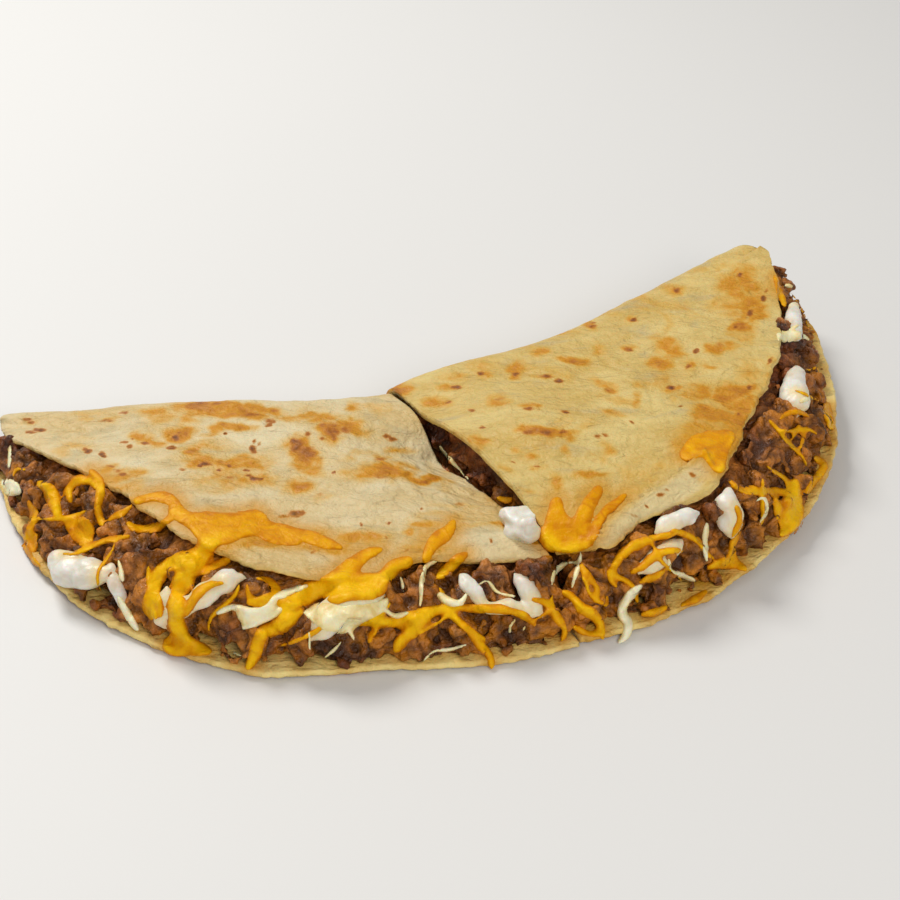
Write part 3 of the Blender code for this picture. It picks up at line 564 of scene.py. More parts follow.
# Where orange butterfat has soaked the beef and the lower leaf: x, y, half width, half height, strength.
GLAZE = (
    (62, 530, 34, 18, 0.7), (35, 545, 14, 14, 0.6), (120, 505, 22, 14, 0.5), (150, 575, 22, 14, 0.6),
    (190, 650, 26, 8, 0.85), (263, 600, 20, 10, 0.6), (395, 600, 20, 14, 0.65),
    (440, 625, 30, 12, 0.65), (540, 632, 22, 14, 0.85), (585, 615, 24, 22, 0.9),
    (575, 580, 14, 16, 0.65), (640, 602, 32, 10, 0.6), (700, 577, 38, 13, 0.9),
    (640, 560, 20, 10, 0.45), (772, 522, 26, 24, 0.85), (795, 480, 16, 14, 0.6),
    (735, 560, 16, 12, 0.75), (815, 480, 14, 18, 0.85), (830, 440, 8, 26, 0.85),
    (780, 290, 8, 24, 0.6), (500, 655, 40, 6, 0.5), (270, 660, 30, 6, 0.5), (60, 455, 30, 10, 0.3),
    (95, 478, 14, 10, 0.6),
)

# The upper leaves, where the cheese has melted flat: their outlines, and how much of its height is left.
FLAT_AREAS = (
    (
        (0, 410), (390, 395), (430, 450), (500, 505), (548, 555), (500, 560), (440, 565), (380, 575),
        (320, 578), (270, 565), (215, 545), (170, 525), (130, 500), (80, 470), (0, 435),
    ),
    (
        (390, 390), (770, 245), (782, 300), (770, 365), (745, 410), (735, 455), (700, 490),
        (650, 510), (600, 540), (560, 550), (510, 500), (430, 420),
    ),
)
FLAT_SHARE = 0.42
FLAT_FADE = 8.0

# The grid that the cheese is laid on: its corners in the photograph, and its step.
CANVAS = ((0.0, 240.0), (860.0, 690.0))
CANVAS_STEP = 1.5
STRAND_STEP = 2.0
STRAND_FALL = 1.5
STRAND_WOBBLE = 0.35
EDGE = 0.223
EDGE_RAGGEDNESS = 0.28
RAGGED_SIZE = 7.0
POOL_EDGE = 9.0
POOL_FADE = 1.6
SKIRT = 0.30
SKIRT_DEPTH = 0.0009
SHEET_BACK = 0.0010
THINNEST = 0.00012
BRIDGE_REACH = 3
SMOOTH_REACH = 3
FLATTEST_VIEW = 0.5
CHEDDAR_GROWTH = 1.25
JACK_GROWTH = 0.95
STRAND_FLATNESS = 0.22
STRAND_THICKEST = 0.0010
CHEESE_VOXEL = 0.00045
CHEESE_SOFTENING = 3
CHEESE_RELIEF = ((0.0040, 0.00015), (0.0016, 0.00006))
LOWEST_CHEESE = 0.0004
FEWEST_SPOTS = 6
STRAND_ENDS = 0.30
STRAND_MARGIN = 4.0
DEPTH_LUMPS = 0.35
LUMPS_OFFSET = 5.0
PIXEL_SIZE = 0.00031
THICK = 0.0010

# Thin shreds that cross the front face on a slant, from a low start to a high end.
CHEESE_SEED = 5
CHEESE_SPACING = 0.0155
CHEESE_WIDTH = 0.0015
FACE_LENGTH = 0.19
FIRST_STRAND, LAST_STRAND = 0.05, 0.905
FACE_LEANS = (-0.07, 0.07)
FACE_STARTS = (0.0, 0.3)
FACE_ENDS = (0.65, 0.95)
FACE_PROUD = (0.001, 0.0022)
FACE_STOPS = 26
FACE_SKIP = 5
FACE_SWAY = 0.006
FACE_BENDS = 6
FACE_TURNS = 40
FACE_WIDTHS = (0.8, 1.4)
FACE_PACES = (0.7, 1.3)
FACE_THICKNESS = 0.0006

# How far butterfat and juice reach into each piece, and how strongly they show there.
LEAF_GREASE_REACH, LEAF_GREASE = 0.0030, 0.75
LEAF_JUICE_REACH, LEAF_JUICE = 0.0025, 0.55
BEEF_STAIN_REACH, BEEF_STAINED = 0.0050, 0.8
CREAM_STAIN_REACH, CREAM_STAINED = 0.0020, 0.7
CREAM_JUICE_REACH = 0.0011
NEIGHBOUR_SKIP = 3

# Beef colours, from a crumble's darkest to its lightest, what stains it, and the painted shade in its
# pits, cracks and hollows.
BEEF_TONES = (
    (0.05, (0.040, 0.009, 0.001)),
    (0.35, (0.140, 0.030, 0.003)),
    (0.65, (0.310, 0.080, 0.009)),
    (1.0, (0.560, 0.200, 0.040)),
)
BEEF_STAIN = (0.66, 0.23, 0.003)
BEEF_PAINTED_SHADE = (0.020, 0.004, 0.001)

# The cheeses, from thin to thick, and sour cream.
CHEDDAR_TONES = ((0.05, (0.60, 0.200, 0.001)), (0.35, (0.76, 0.330, 0.001)), (0.75, (0.88, 0.490, 0.004)))
JACK_TONES = ((0.0, (0.78, 0.58, 0.22)), (0.25, (0.92, 0.79, 0.43)), (0.60, (0.95, 0.88, 0.62)))
CREAM_SHADE = (0.72, 0.67, 0.55)
CREAM_WHITE = (0.86, 0.85, 0.80)
CREAM_STAIN = (0.86, 0.66, 0.28)
CREAM_JUICE = (0.60, 0.42, 0.22)

# The turn of each sheet's streaks in degrees, and how much of it is loosely golden.
STREAK_TURN = {"left": 12.0, "right": -35.0}
GOLDEN_SHARE = {"left": 0.30, "right": 0.45}

# Flour-tortilla colours: plain dough, then its steps from golden to browned and from browned to charred.
DOUGH = {"left": (0.64, 0.46, 0.19), "right": (0.61, 0.41, 0.105)}
PALE_DOUGH = {"left": (0.72, 0.605, 0.365), "right": (0.71, 0.54, 0.20)}
DAMP = (0.46, 0.38, 0.20)
FLAP_DOUGH = (0.76, 0.62, 0.33)
INNER_DOUGH = (0.97, 0.77, 0.29)
GOLDEN_STEPS = (
    (0.0, (0.70, 0.45, 0.12)),
    (0.25, (0.66, 0.36, 0.035)),
    (0.60, (0.60, 0.25, 0.004)),
    (1.0, (0.44, 0.145, 0.002)),
)
TOAST_STEPS = (
    (0.15, (0.56, 0.23, 0.008)),
    (0.45, (0.43, 0.140, 0.004)),
    (0.75, (0.24, 0.072, 0.004)),
    (1.0, (0.075, 0.024, 0.005)),
)
FLECK = (0.36, 0.15, 0.03)
GREASE = (0.62, 0.29, 0.008)

# The studio: its pale surroundings, each light's name, place, size, watts and colour, and the floor.
SURROUNDINGS = (1.0, 0.985, 0.96, 1.0)
SURROUNDINGS_STRENGTH = 0.36
LIGHTS = (
    ("key", (-0.45, 0.45, 0.80), 0.42, 7.0, (1.0, 0.985, 0.95)),
    ("fill", (0.35, -0.90, 0.75), 0.60, 5.3, (1.0, 0.98, 0.95)),
)
FLOOR_REACH = 6.0
FLOOR_DROP = 0.0002
FLOOR_TONES = ((0.74, 0.735, 0.725), (0.77, 0.765, 0.755))


def unit(vectors):
    return vectors / np.linalg.norm(vectors, axis=-1, keepdims=True)


def ease(share):
    share = np.clip(share, 0.0, 1.0)
    return share * share * (3 - 2 * share)


def through(rows, places):
    """The values at places on a smooth curve through rows of (place, value, ...)."""
    rows = np.asarray(rows, float)
    stops, values = rows[:, 0], rows[:, 1:]
    places = np.clip(np.asarray(places, float), stops[0], stops[-1])
    index = np.clip(np.searchsorted(stops, places, side="right") - 1, 0, len(stops) - 2)
    slopes = np.gradient(values, stops, axis=0)
    width = (stops[index + 1] - stops[index])[..., None]
    share = (places - stops[index])[..., None] / width
    rise = share * share * (3 - 2 * share)
    start = slopes[index] * width * share * (1 - share) ** 2
    end = slopes[index + 1] * width * share**2 * (share - 1)
    return values[index] * (1 - rise) + values[index + 1] * rise + start + end


def on_circle(angles, radii):
    turn = np.radians(angles)
    arms = np.stack([np.cos(turn), np.sin(turn), 0 * turn], axis=-1)
    return CUT_CENTRE + arms * np.asarray(radii)[..., None]


def rim_points(wedge, rim, cut_angle, places, grow):
    """A rim's points in plan, pushed out by grow, with the rim's heights there."""
    angles = cut_angle + (wedge.tip_angle - cut_angle) * places
    values = through(rim, angles)
    return on_circle(angles, values[..., 0] + grow), values[..., 1]


def ribs_at(wedge, places, lower_grow=0.0, upper_grow=0.0):
    """The lines across a wedge at shares of the way from the cut to the tip."""
    places = np.asarray(places, float)
    lower, lift = rim_points(wedge, wedge.lower_rim, LOWER_CUT_ANGLE, places, lower_grow)
    upper, upper_height = rim_points(wedge, wedge.upper_rim, UPPER_CUT_ANGLE, places, upper_grow)
    line = through(wedge.fold, places)
    fold = line * (1.0, 1.0, 0.0)
    across = on_circle(UPPER_CUT_ANGLE, 1.0) - CUT_CENTRE
    aside = np.array((-across[1], across[0], 0.0)) * wedge.side
    shift = aside * (CUT_HALF_WIDTH * (1 - ease(places / CUT_PROFILE_REACH)))[..., None]
    out = unit(upper - fold)
    step = through(wedge.fold, places + SLOPE_STEP) - through(wedge.fold, places - SLOPE_STEP)
    normal = unit(np.stack([-step[..., 1], step[..., 0], 0 * places], axis=-1)) * wedge.side
    turn = ease(places / FOLD_TURN_REACH)[..., None]
    return SimpleNamespace(
        fold=fold + shift,
        top=line[..., 2],
        back=unit(normal * turn - out * (1 - turn)),
        lower=lower + shift,
        lift=lift,
        upper=upper + shift,
        upper_height=upper_height,
        dome=wedge.dome * ease(places / DOME_REACH) * (1 - places),
    )


def noise_at(points, size, offset=0.0):
    """Smooth noise between -1 and 1 at each point, with features of the given size."""
    shape = points.shape[:-1]
    flat = points.reshape(-1, 3) / size + offset
    return np.array([noise.noise(Vector(place)) for place in flat]).reshape(shape)


def lower_leaf(ribs, shares):
    """Points of the lower leaf, shares 0 at its rim to 1 at the fold."""
    run = (ribs.fold - ribs.lower)[:, None]
    points = ribs.lower[:, None] + run * shares[None, :, None]
    reach = np.linalg.norm(run, axis=-1) * shares[None, :]
    points[..., 2] = ribs.lift[:, None] * ease(1 - reach / RIM_LIFT_WIDTH)
    return points


def bend(ribs, shares):
    """Points round the fold, shares 0 below to 1 above."""
    turn = math.pi * shares[None, :]
    radius = ribs.top[:, None] / 2
    points = ribs.fold[:, None] + ribs.back[:, None] * (radius * np.sin(turn))[..., None]
    points[..., 2] = radius * (1 - np.cos(turn))
    return points


def upper_leaf(wedge, ribs, places, shares):
    """Points of the upper leaf, shares 0 at the fold to 1 at its rim."""
    points = ribs.fold[:, None] + (ribs.upper - ribs.fold)[:, None] * shares[None, :, None]
    straight = ribs.top[:, None] + (ribs.upper_height - ribs.top)[:, None] * shares[None, :]
    fade = np.clip(1 - places / CUT_PROFILE_REACH, 0.0, None) ** 2
    sag = through(wedge.cut_profile, shares)[:, 0][None, :] * fade[:, None]
    dome = ribs.dome[:, None] * 4 * shares * (1 - shares)
    level = points * (1.0, 1.0, 0.0)
    waves = noise_at(level, WAVE_LENGTH, np.array((wedge.seed, 0.0, 0.0))) * WAVE_HEIGHT * 2
    points[..., 2] = straight + sag + dome + waves * ease(shares / WAVE_REACH)
    return points


def sheet_grid(wedge, places, lower_grow, upper_grow):
    """The sheet's outer skin: a row for each rib, from the lower leaf's rim round to the upper's."""
    ribs = ribs_at(wedge, places, lower_grow, upper_grow)
    lower_shares = np.linspace(0.0, 1.0, LOWER_POINTS, endpoint=False) ** LOWER_CROWDING
    bend_shares = np.linspace(0.0, 1.0, BEND_POINTS, endpoint=False)
    upper_shares = np.linspace(0.0, 1.0, UPPER_POINTS)
    parts = [
        lower_leaf(ribs, lower_shares),
        bend(ribs, bend_shares),
        upper_leaf(wedge, ribs, places, upper_shares),
    ]
    return np.concatenate(parts, axis=1)


def grid_normals(grid, side):
    """Unit normals of a grid of points, facing out of the folded sheet."""
    along = np.gradient(grid, axis=1)
    across = np.gradient(grid, axis=0)
    return unit(np.cross(along, across)) * side


def face_points(wedge, places, shares, proud=0.0):
    """Points of the filling's front face: shares run from 0 at its foot to 1 under the upper rim."""
    places, shares, proud = np.broadcast_arrays(places, shares, proud)
    ribs = ribs_at(wedge, places)
    lower_run = ribs.lower - ribs.fold
    lower_length = np.linalg.norm(lower_run, axis=-1)
    lower_out = unit(lower_run)
    foot = ribs.lower - lower_out * np.minimum(FOOT_INSET, lower_length / 2)[..., None]
    foot[..., 2] = ribs.lift * FOOT_LIFT + TORTILLA_THICKNESS + FILLING_GAP
    brow = ribs.upper + unit(ribs.upper - ribs.fold) * BROW_REACH
    brow[..., 2] = ribs.upper_height - TORTILLA_THICKNESS - BROW_DROP
    lean = shares[..., None] ** FACE_CURVE
    points = foot + (brow - foot) * lean
    points[..., 2] = foot[..., 2] + (brow[..., 2] - foot[..., 2]) * shares
    bulge = FACE_BULGE * np.sin(math.pi * shares) + proud
    points += lower_out * (bulge * BULGE_OUT)[..., None]
    points[..., 2] += bulge * BULGE_UP
    return points


def mesh_object(name, points, faces, material):
    """A smooth-shaded object from arrays of points and faces."""
    mesh = bpy.data.meshes.new(name)
    mesh.from_pydata(np.asarray(points).reshape(-1, 3).tolist(), [], faces)
    mesh.polygons.foreach_set("use_smooth", np.ones(len(mesh.polygons), bool))
    thing = bpy.data.objects.new(name, mesh)
    bpy.context.scene.collection.objects.link(thing)
    mesh.materials.append(material)
    return thing


def dress(thing, slot, *nodes):
    """Set a finished piece on the model's root, and hide the solids it stands for; the slot for its finish
    is not used.
    """
    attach(thing, "root")
    if nodes:
        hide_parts(*nodes)


def set_attribute(thing, name, values):
    """Store one number for each point of a mesh, for its material to read."""
    attribute = thing.data.attributes.new(name, "FLOAT", "POINT")
    attribute.data.foreach_set("value", np.asarray(values, np.float32).ravel())


def points_of(thing):
    places = np.empty(len(thing.data.vertices) * 3, np.float32)
    thing.data.vertices.foreach_get("co", places)
    return places.reshape(-1, 3).astype(float)


def normals_of(thing):
    normals = np.empty(len(thing.data.vertices) * 3, np.float32)
    thing.data.vertex_normals.foreach_get("vector", normals)
    return normals.reshape(-1, 3).astype(float)


def move_points(thing, places):
    thing.data.vertices.foreach_set("co", np.asarray(places, np.float32).ravel())
    thing.data.update()


def camera_axes():
    """The camera's right, up and forward directions."""
    pitch, roll = math.radians(CAMERA_PITCH), math.radians(CAMERA_ROLL)
    level = np.array((1.0, 0.0, 0.0))
    upright = np.array((0.0, math.sin(pitch), math.cos(pitch)))
    forward = np.array((0.0, math.cos(pitch), -math.sin(pitch)))
    right = math.cos(roll) * level + math.sin(roll) * upright
    up = math.cos(roll) * upright - math.sin(roll) * level
    return right, up, forward


def make_camera():
    right, up, forward = camera_axes()
    data = bpy.data.cameras.new("camera")
    data.sensor_width = SENSOR_WIDTH
    data.lens = LENS
    data.clip_start = 0.01
    camera = bpy.data.objects.new("camera", data)
    bpy.context.scene.collection.objects.link(camera)
    turn = Matrix((right, up, -forward)).transposed().to_4x4()
    camera.matrix_world = Matrix.Translation(CAMERA_PLACE) @ turn
    bpy.context.scene.camera = camera


def sight_line(x, y):
    """The direction from the camera through a place in the photograph."""
    right, up, forward = camera_axes()
    return unit(right * (x - IMAGE_MIDDLE) - up * (y - IMAGE_MIDDLE) + forward * FOCAL_PIXELS)


def seen_at(points):
    """Where points appear in the photograph."""
    right, up, forward = camera_axes()
    offset = points - CAMERA_PLACE
    scale = FOCAL_PIXELS / (offset @ forward)
    return IMAGE_MIDDLE + np.stack([offset @ right * scale, -(offset @ up) * scale], axis=-1)


def gap_to(line, spots):
    """The distance in pixels from each spot to a line through the photograph."""
    line = np.array(line, float)
    starts, runs = line[:-1], line[1:] - line[:-1]
    offset = spots[:, None] - starts
    share = np.clip(np.sum(offset * runs, axis=-1) / np.sum(runs * runs, axis=-1), 0.0, 1.0)
    return np.linalg.norm(offset - runs * share[..., None], axis=-1).min(axis=1)


class Surface:
    """What has been laid so far, to seat the next pieces on."""

    def __init__(self, things):
        points, faces = [], []
        for thing in things:
            start = len(points)
            points += points_of(thing).tolist()
            faces += [[start + corner for corner in face.vertices] for face in thing.data.polygons]
        self.tree = BVHTree.FromPolygons(points, faces)

    def behind(self, x, y):
        """The surface behind a place in the photograph: its point, its normal and its distance."""
        point, normal, _, distance = self.tree.ray_cast(Vector(CAMERA_PLACE), Vector(sight_line(x, y)))
        return point, normal, distance


def softbox(name, place, size, watts, colour):
    """A round light that faces the middle of the model."""
    data = bpy.data.lights.new(name, "AREA")
    data.shape = "DISK"
    data.size = size
    data.energy = watts
    data.color = colour
    light = bpy.data.objects.new(name, data)
    light.location = place
    light.rotation_euler = (-Vector(place)).to_track_quat("-Z", "Y").to_euler()
    bpy.context.scene.collection.objects.link(light)


def make_studio():
    """A pale floor under soft light from above and behind, with a weaker fill in front."""
    world = bpy.data.worlds.new("studio")
    world.use_nodes = True
    background = world.node_tree.nodes["Background"]
    background.inputs["Color"].default_value = SURROUNDINGS
    background.inputs["Strength"].default_value = SURROUNDINGS_STRENGTH
    bpy.context.scene.world = world
    bpy.context.scene.view_settings.view_transform = "Standard"
    for light in LIGHTS:
        softbox(*light)
    reach = FLOOR_REACH
    corners = [(-reach, -reach, 0), (reach, -reach, 0), (reach, reach, 0), (-reach, reach, 0)]
    floor = mesh_object("floor", corners, [(0, 1, 2, 3)], floor_material())
    floor.location.z = -FLOOR_DROP


class Paint:
    """A material's node tree, with short ways to add its usual nodes."""

    def __init__(self, name):
        self.material = bpy.data.materials.new(name)
        self.material.use_nodes = True
        self.tree = self.material.node_tree
        self.shader = self.tree.nodes["Principled BSDF"]
        self.place = self.tree.nodes.new("ShaderNodeTexCoord").outputs["Object"]

    def link(self, value, socket):
        """Feed a socket from another node's output, or set it to a plain value."""
        if isinstance(value, bpy.types.NodeSocket):
            self.tree.links.new(value, socket)
        elif isinstance(value, tuple):
            socket.default_value = (*value, 1.0)
        else:
            socket.default_value = value

    def set(self, name, value):
        self.link(value, self.shader.inputs[name])

    def stretched(self, stretch, turn=0.0):
        """Coordinates stretched along X, Y and Z and turned about Z."""
        mapping = self.tree.nodes.new("ShaderNodeMapping")
        mapping.inputs["Scale"].default_value = stretch
        mapping.inputs["Rotation"].default_value = (0.0, 0.0, math.radians(turn))
        self.tree.links.new(self.place, mapping.inputs["Vector"])
        return mapping.outputs["Vector"]

    def noise(self, size, detail=4.0, where=None, warp=0.0):
        """Noise with features of the given size in metres."""
        node = self.tree.nodes.new("ShaderNodeTexNoise")
        node.inputs["Scale"].default_value = 1.0 / size
        node.inputs["Detail"].default_value = detail
        node.inputs["Distortion"].default_value = warp
        self.tree.links.new(where or self.place, node.inputs["Vector"])
        return node.outputs["Fac"]

    def cells(self, size, where=None):
        """Distance to the nearest of scattered points about size apart."""
        node = self.tree.nodes.new("ShaderNodeTexVoronoi")
        node.inputs["Scale"].default_value = 1.0 / size
        self.tree.links.new(where or self.place, node.inputs["Vector"])
        return node.outputs["Distance"]

    def stored(self, name):
        node = self.tree.nodes.new("ShaderNodeAttribute")
        node.attribute_name = name
        return node.outputs["Fac"]

    def fit(self, value, low, high, to_low=0.0, to_high=1.0):
        """A value's range low to high spread over another."""
        node = self.tree.nodes.new("ShaderNodeMapRange")
        for socket, number in zip(list(node.inputs)[1:5], (low, high, to_low, to_high)):
            socket.default_value = number
        self.link(value, node.inputs[0])
        return node.outputs[0]

    def sum(self, kind, first, second):
        node = self.tree.nodes.new("ShaderNodeMath")
        node.operation = kind
        self.link(first, node.inputs[0])
        self.link(second, node.inputs[1])
        return node.outputs[0]

    def blend(self, share, first, second):
        """A colour share of the way from first to second."""
        node = self.tree.nodes.new("ShaderNodeMix")
        node.data_type = "RGBA"
        self.link(share, node.inputs["Factor"])
        self.link(first, node.inputs[6])
        self.link(second, node.inputs[7])
        return node.outputs[2]

    def ramp(self, value, stops):
        """Colours at stops of (place, colour)."""
        node = self.tree.nodes.new("ShaderNodeValToRGB")
        elements = node.color_ramp.elements
        while len(elements) < len(stops):
            elements.new(0.5)
        for element, (place, colour) in zip(elements, stops):
            element.position = place
            element.color = (*colour, 1.0)
        self.link(value, node.inputs["Fac"])
        return node.outputs["Color"]

    def bump(self, height, depth, after=None):
        """A normal for relief whose full height is depth in metres."""
        node = self.tree.nodes.new("ShaderNodeBump")
        node.inputs["Distance"].default_value = depth
        self.link(height, node.inputs["Height"])
        if after:
            self.tree.links.new(after, node.inputs["Normal"])
        return node.outputs["Normal"]


def floor_material():
    """A plain pale floor, hardly mottled."""
    paint = Paint("floor")
    paint.set("Base Color", paint.blend(paint.noise(0.4, 2.0), *FLOOR_TONES))
    paint.set("Roughness", 0.55)
    return paint.material


def tortilla_material(wedge):
    """Baked flour dough: mottled, clouded golden where it rose, with toasted spots and fine wrinkles."""
    paint = Paint(f"tortilla_{wedge.name}")
    streaks = paint.stretched((0.55, 1.0, 1.0), STREAK_TURN[wedge.name])
    mottle = paint.fit(paint.noise(0.014, 7.0, streaks, 0.6), 0.36, 0.64)
    fine = paint.noise(0.0017, 5.0)
    medium = paint.fit(paint.noise(0.0052, 6.0, warp=0.6), 0.30, 0.70)
    base = paint.blend(mottle, DOUGH[wedge.name], PALE_DOUGH[wedge.name])
    damp = paint.fit(paint.noise(0.010, 5.0, streaks, 1.0), 0.56, 0.70)
    base = paint.blend(paint.sum("MULTIPLY", damp, 0.60), base, DAMP)
    base = paint.blend(paint.sum("MULTIPLY", paint.stored("pale"), 0.75), base, FLAP_DOUGH)
    golden = paint.fit(paint.noise(0.020, 6.0, warp=0.8), 0.52, 0.72)
    loose = paint.sum("MULTIPLY", golden, GOLDEN_SHARE[wedge.name])
    cloud = paint.sum("MAXIMUM", paint.stored("cloud"), loose)
    cloud = paint.sum("MULTIPLY", cloud, paint.fit(medium, 0.0, 1.0, 0.50, 1.35))
    within = paint.sum("MULTIPLY", paint.sum("SUBTRACT", 1.0, paint.stored("outer")), 0.9)
    base = paint.blend(within, base, INNER_DOUGH)
    base = paint.blend(paint.fit(cloud, 0.02, 0.50), base, paint.ramp(cloud, GOLDEN_STEPS))
    flecks = paint.fit(paint.cells(0.0050), 0.10, 0.03)
    patchy = paint.fit(paint.noise(0.014, 3.0), 0.52, 0.60)
    base = paint.blend(paint.sum("MULTIPLY", flecks, paint.sum("MULTIPLY", patchy, 0.55)), base, FLECK)
    toast = paint.sum("MULTIPLY", paint.stored("toast"), paint.fit(fine, 0.28, 0.72, 0.65, 1.35))
    base = paint.blend(paint.fit(toast, 0.12, 0.45), base, paint.ramp(toast, TOAST_STEPS))
    base = paint.blend(paint.stored("grease"), base, GREASE)
    paint.set("Base Color", base)
    paint.set("Roughness", paint.fit(mottle, 0.0, 1.0, 0.42, 0.62))
    paint.set("Subsurface Weight", 0.08)
    paint.set("Subsurface Scale", 0.0012)
    paint.set("Specular IOR Level", 0.40)
    wrinkles = paint.bump(paint.noise(0.0042, 6.0, streaks, 0.8), 0.0019)
    paint.set("Normal", paint.bump(fine, 0.0006, wrinkles))
    return paint.material


def beef_material():
    """Browned, moist ground beef: grey-brown to red-brown crumbs, stained orange near the cheddar, with
    painted shade in its pits, cracks and hollows.
    """
    paint = Paint("beef")
    mottle = paint.fit(paint.noise(0.0026, 6.0), 0.3, 0.7, -0.26, 0.26)
    clumps = paint.fit(paint.noise(0.0120, 2.0), 0.35, 0.65, -0.18, 0.20)
    mottle = paint.sum("ADD", mottle, clumps)
    tone = paint.sum("ADD", paint.stored("tone"), mottle)
    base = paint.ramp(tone, BEEF_TONES)
    patchy = paint.fit(paint.noise(0.0045, 4.0), 0.35, 0.60, 0.35, 1.0)
    base = paint.blend(paint.sum("MULTIPLY", paint.stored("stain"), patchy), base, BEEF_STAIN)
    # Painted shade: the beef is darkened where it lies in a grain pit, a crack or a hollow.
    pit_shade = paint.sum("MULTIPLY", paint.stored("crevice_shade"), 0.85)
    paint.set("Base Color", paint.blend(pit_shade, base, BEEF_PAINTED_SHADE))
    paint.set("Roughness", paint.fit(paint.noise(0.0018, 3.0), 0.3, 0.7, 0.22, 0.60))
    paint.set("Specular IOR Level", 0.45)
    grain = paint.bump(paint.noise(0.0011, 6.0), 0.0009)
    paint.set("Normal", paint.bump(paint.cells(0.0011), 0.0004, grain))
    return paint.material


def cheddar_material():
    """Melted cheddar: deep orange where it lies thin, bright where it has gathered."""
    paint = Paint("cheddar")
    flow = paint.fit(paint.noise(0.0060, 5.0, warp=1.4), 0.3, 0.7, -0.22, 0.22)
    paint.set("Base Color", paint.ramp(paint.sum("ADD", flow, paint.stored("thick")), CHEDDAR_TONES))
    paint.set("Roughness", paint.fit(paint.noise(0.003, 3.0), 0.3, 0.7, 0.26, 0.55))
    paint.set("Subsurface Weight", 0.08)
    paint.set("Subsurface Scale", 0.0012)
    paint.set("Specular IOR Level", 0.26)
    paint.set("Specular Tint", (1.0, 0.76, 0.28))
    ripples = paint.bump(paint.noise(0.0036, 5.0, warp=0.8), 0.0007)
    paint.set("Normal", paint.bump(paint.noise(0.0011, 4.0), 0.0002, ripples))
    return paint.material


def jack_material():
    """White cheese, milky where it is thick and stained where it lies thin over the beef."""
    paint = Paint("white_cheese")
    flow = paint.fit(paint.noise(0.0050, 5.0, warp=1.0), 0.3, 0.7, -0.25, 0.25)
    paint.set("Base Color", paint.ramp(paint.sum("ADD", flow, paint.stored("thick")), JACK_TONES))
    paint.set("Roughness", paint.fit(paint.noise(0.003, 3.0), 0.3, 0.7, 0.26, 0.46))
    paint.set("Subsurface Weight", 0.25)
    paint.set("Subsurface Scale", 0.0015)
    paint.set("Specular IOR Level", 0.40)
    paint.set("Normal", paint.bump(paint.noise(0.0022, 5.0), 0.0005))
    return paint.material


def cream_material():
    """Sour cream, stained yellow by the cheddar and brown by the beef's juice."""
    paint = Paint("cream")
    streak = paint.fit(paint.noise(0.004, 4.0, warp=0.8), 0.35, 0.7)
    base = paint.blend(streak, CREAM_SHADE, CREAM_WHITE)
    base = paint.blend(paint.stored("stain"), base, CREAM_STAIN)
    paint.set("Base Color", paint.blend(paint.stored("juice"), base, CREAM_JUICE))
    paint.set("Roughness", paint.fit(paint.noise(0.0025, 3.0), 0.3, 0.7, 0.28, 0.48))
    paint.set("Subsurface Weight", 0.30)
    paint.set("Subsurface Scale", 0.002)
    paint.set("Normal", paint.bump(paint.noise(0.0020, 5.0), 0.00035))
    return paint.material


def settle(thing):
    """Turn a piece's modifiers into mesh."""
    bpy.context.view_layer.update()
    graph = bpy.context.evaluated_depsgraph_get()
    made = bpy.data.meshes.new_from_object(thing.evaluated_get(graph))
    thing.modifiers.clear()
    thing.data = made


def melt(thing, voxel, rounds):
    """Merge overlapping lumps of one mesh into a single skin and soften it."""
    remesh = thing.modifiers.new("Merge", "REMESH")
    remesh.mode = "VOXEL"
    remesh.voxel_size = voxel
    remesh.use_smooth_shade = True
    if rounds:
        soften = thing.modifiers.new("Soften", "SMOOTH")
        soften.factor = 0.5
        soften.iterations = rounds
    settle(thing)


def relief_at(points, steps):
    """The sum of several sizes of noise, each with its own height."""
    total = 0.0
    for index, (size, height) in enumerate(steps):
        total = total + noise_at(points, size, RELIEF_OFFSET * index) * height
    return total


def tortilla_sheet(wedge):
    """One sheet as a closed skin with baked relief, and how much of it faces out."""
    places = np.linspace(0.0, WEDGE_END, RIBS)
    ribs = ribs_at(wedge, places)
    lower_grow = relief_at(ribs.lower, RIM_RELIEF)
    upper_grow = relief_at(ribs.upper, RIM_RELIEF)
    grid = sheet_grid(wedge, places, lower_grow, upper_grow)
    normals = grid_normals(grid, wedge.side)
    relief = relief_at(grid, SKIN_RELIEF)
    relief[:, -UPPER_POINTS:] += leaf_relief(wedge, grid[:, -UPPER_POINTS:])
    relief = relief[..., None]
    outer = grid + normals * relief
    inner = grid - normals * (TORTILLA_THICKNESS - relief)
    outer[..., 2] = np.maximum(outer[..., 2], 0.0)
    upper_edge = rim_roll(outer[:, -1], inner[:, -1], outer[:, -EDGE_STEP])
    lower_edge = rim_roll(outer[:, 0], inner[:, 0], outer[:, EDGE_STEP])
    lower_edge[..., 2] = np.maximum(lower_edge[..., 2], 0.0)
    loops = np.concatenate([outer, upper_edge, inner[:, ::-1], lower_edge], axis=1)
    count = loops.shape[1]
    faces = loop_faces(RIBS, count)
    faces += end_faces(0, outer.shape[1], count)
    faces += end_faces((RIBS - 1) * count, outer.shape[1], count)
    thing = mesh_object(f"tortilla_{wedge.name}_baked", loops, faces, tortilla_material(wedge))
    face_outward(thing)
    outward = np.zeros((RIBS, count))
    outward[:, : outer.shape[1]] = 1.0
    set_attribute(thing, "outer", outward)
    above = np.zeros((RIBS, count))
    above[:, LOWER_POINTS + BEND_POINTS // 2 : outer.shape[1]] = 1.0
    set_attribute(thing, "above", above)
    return thing


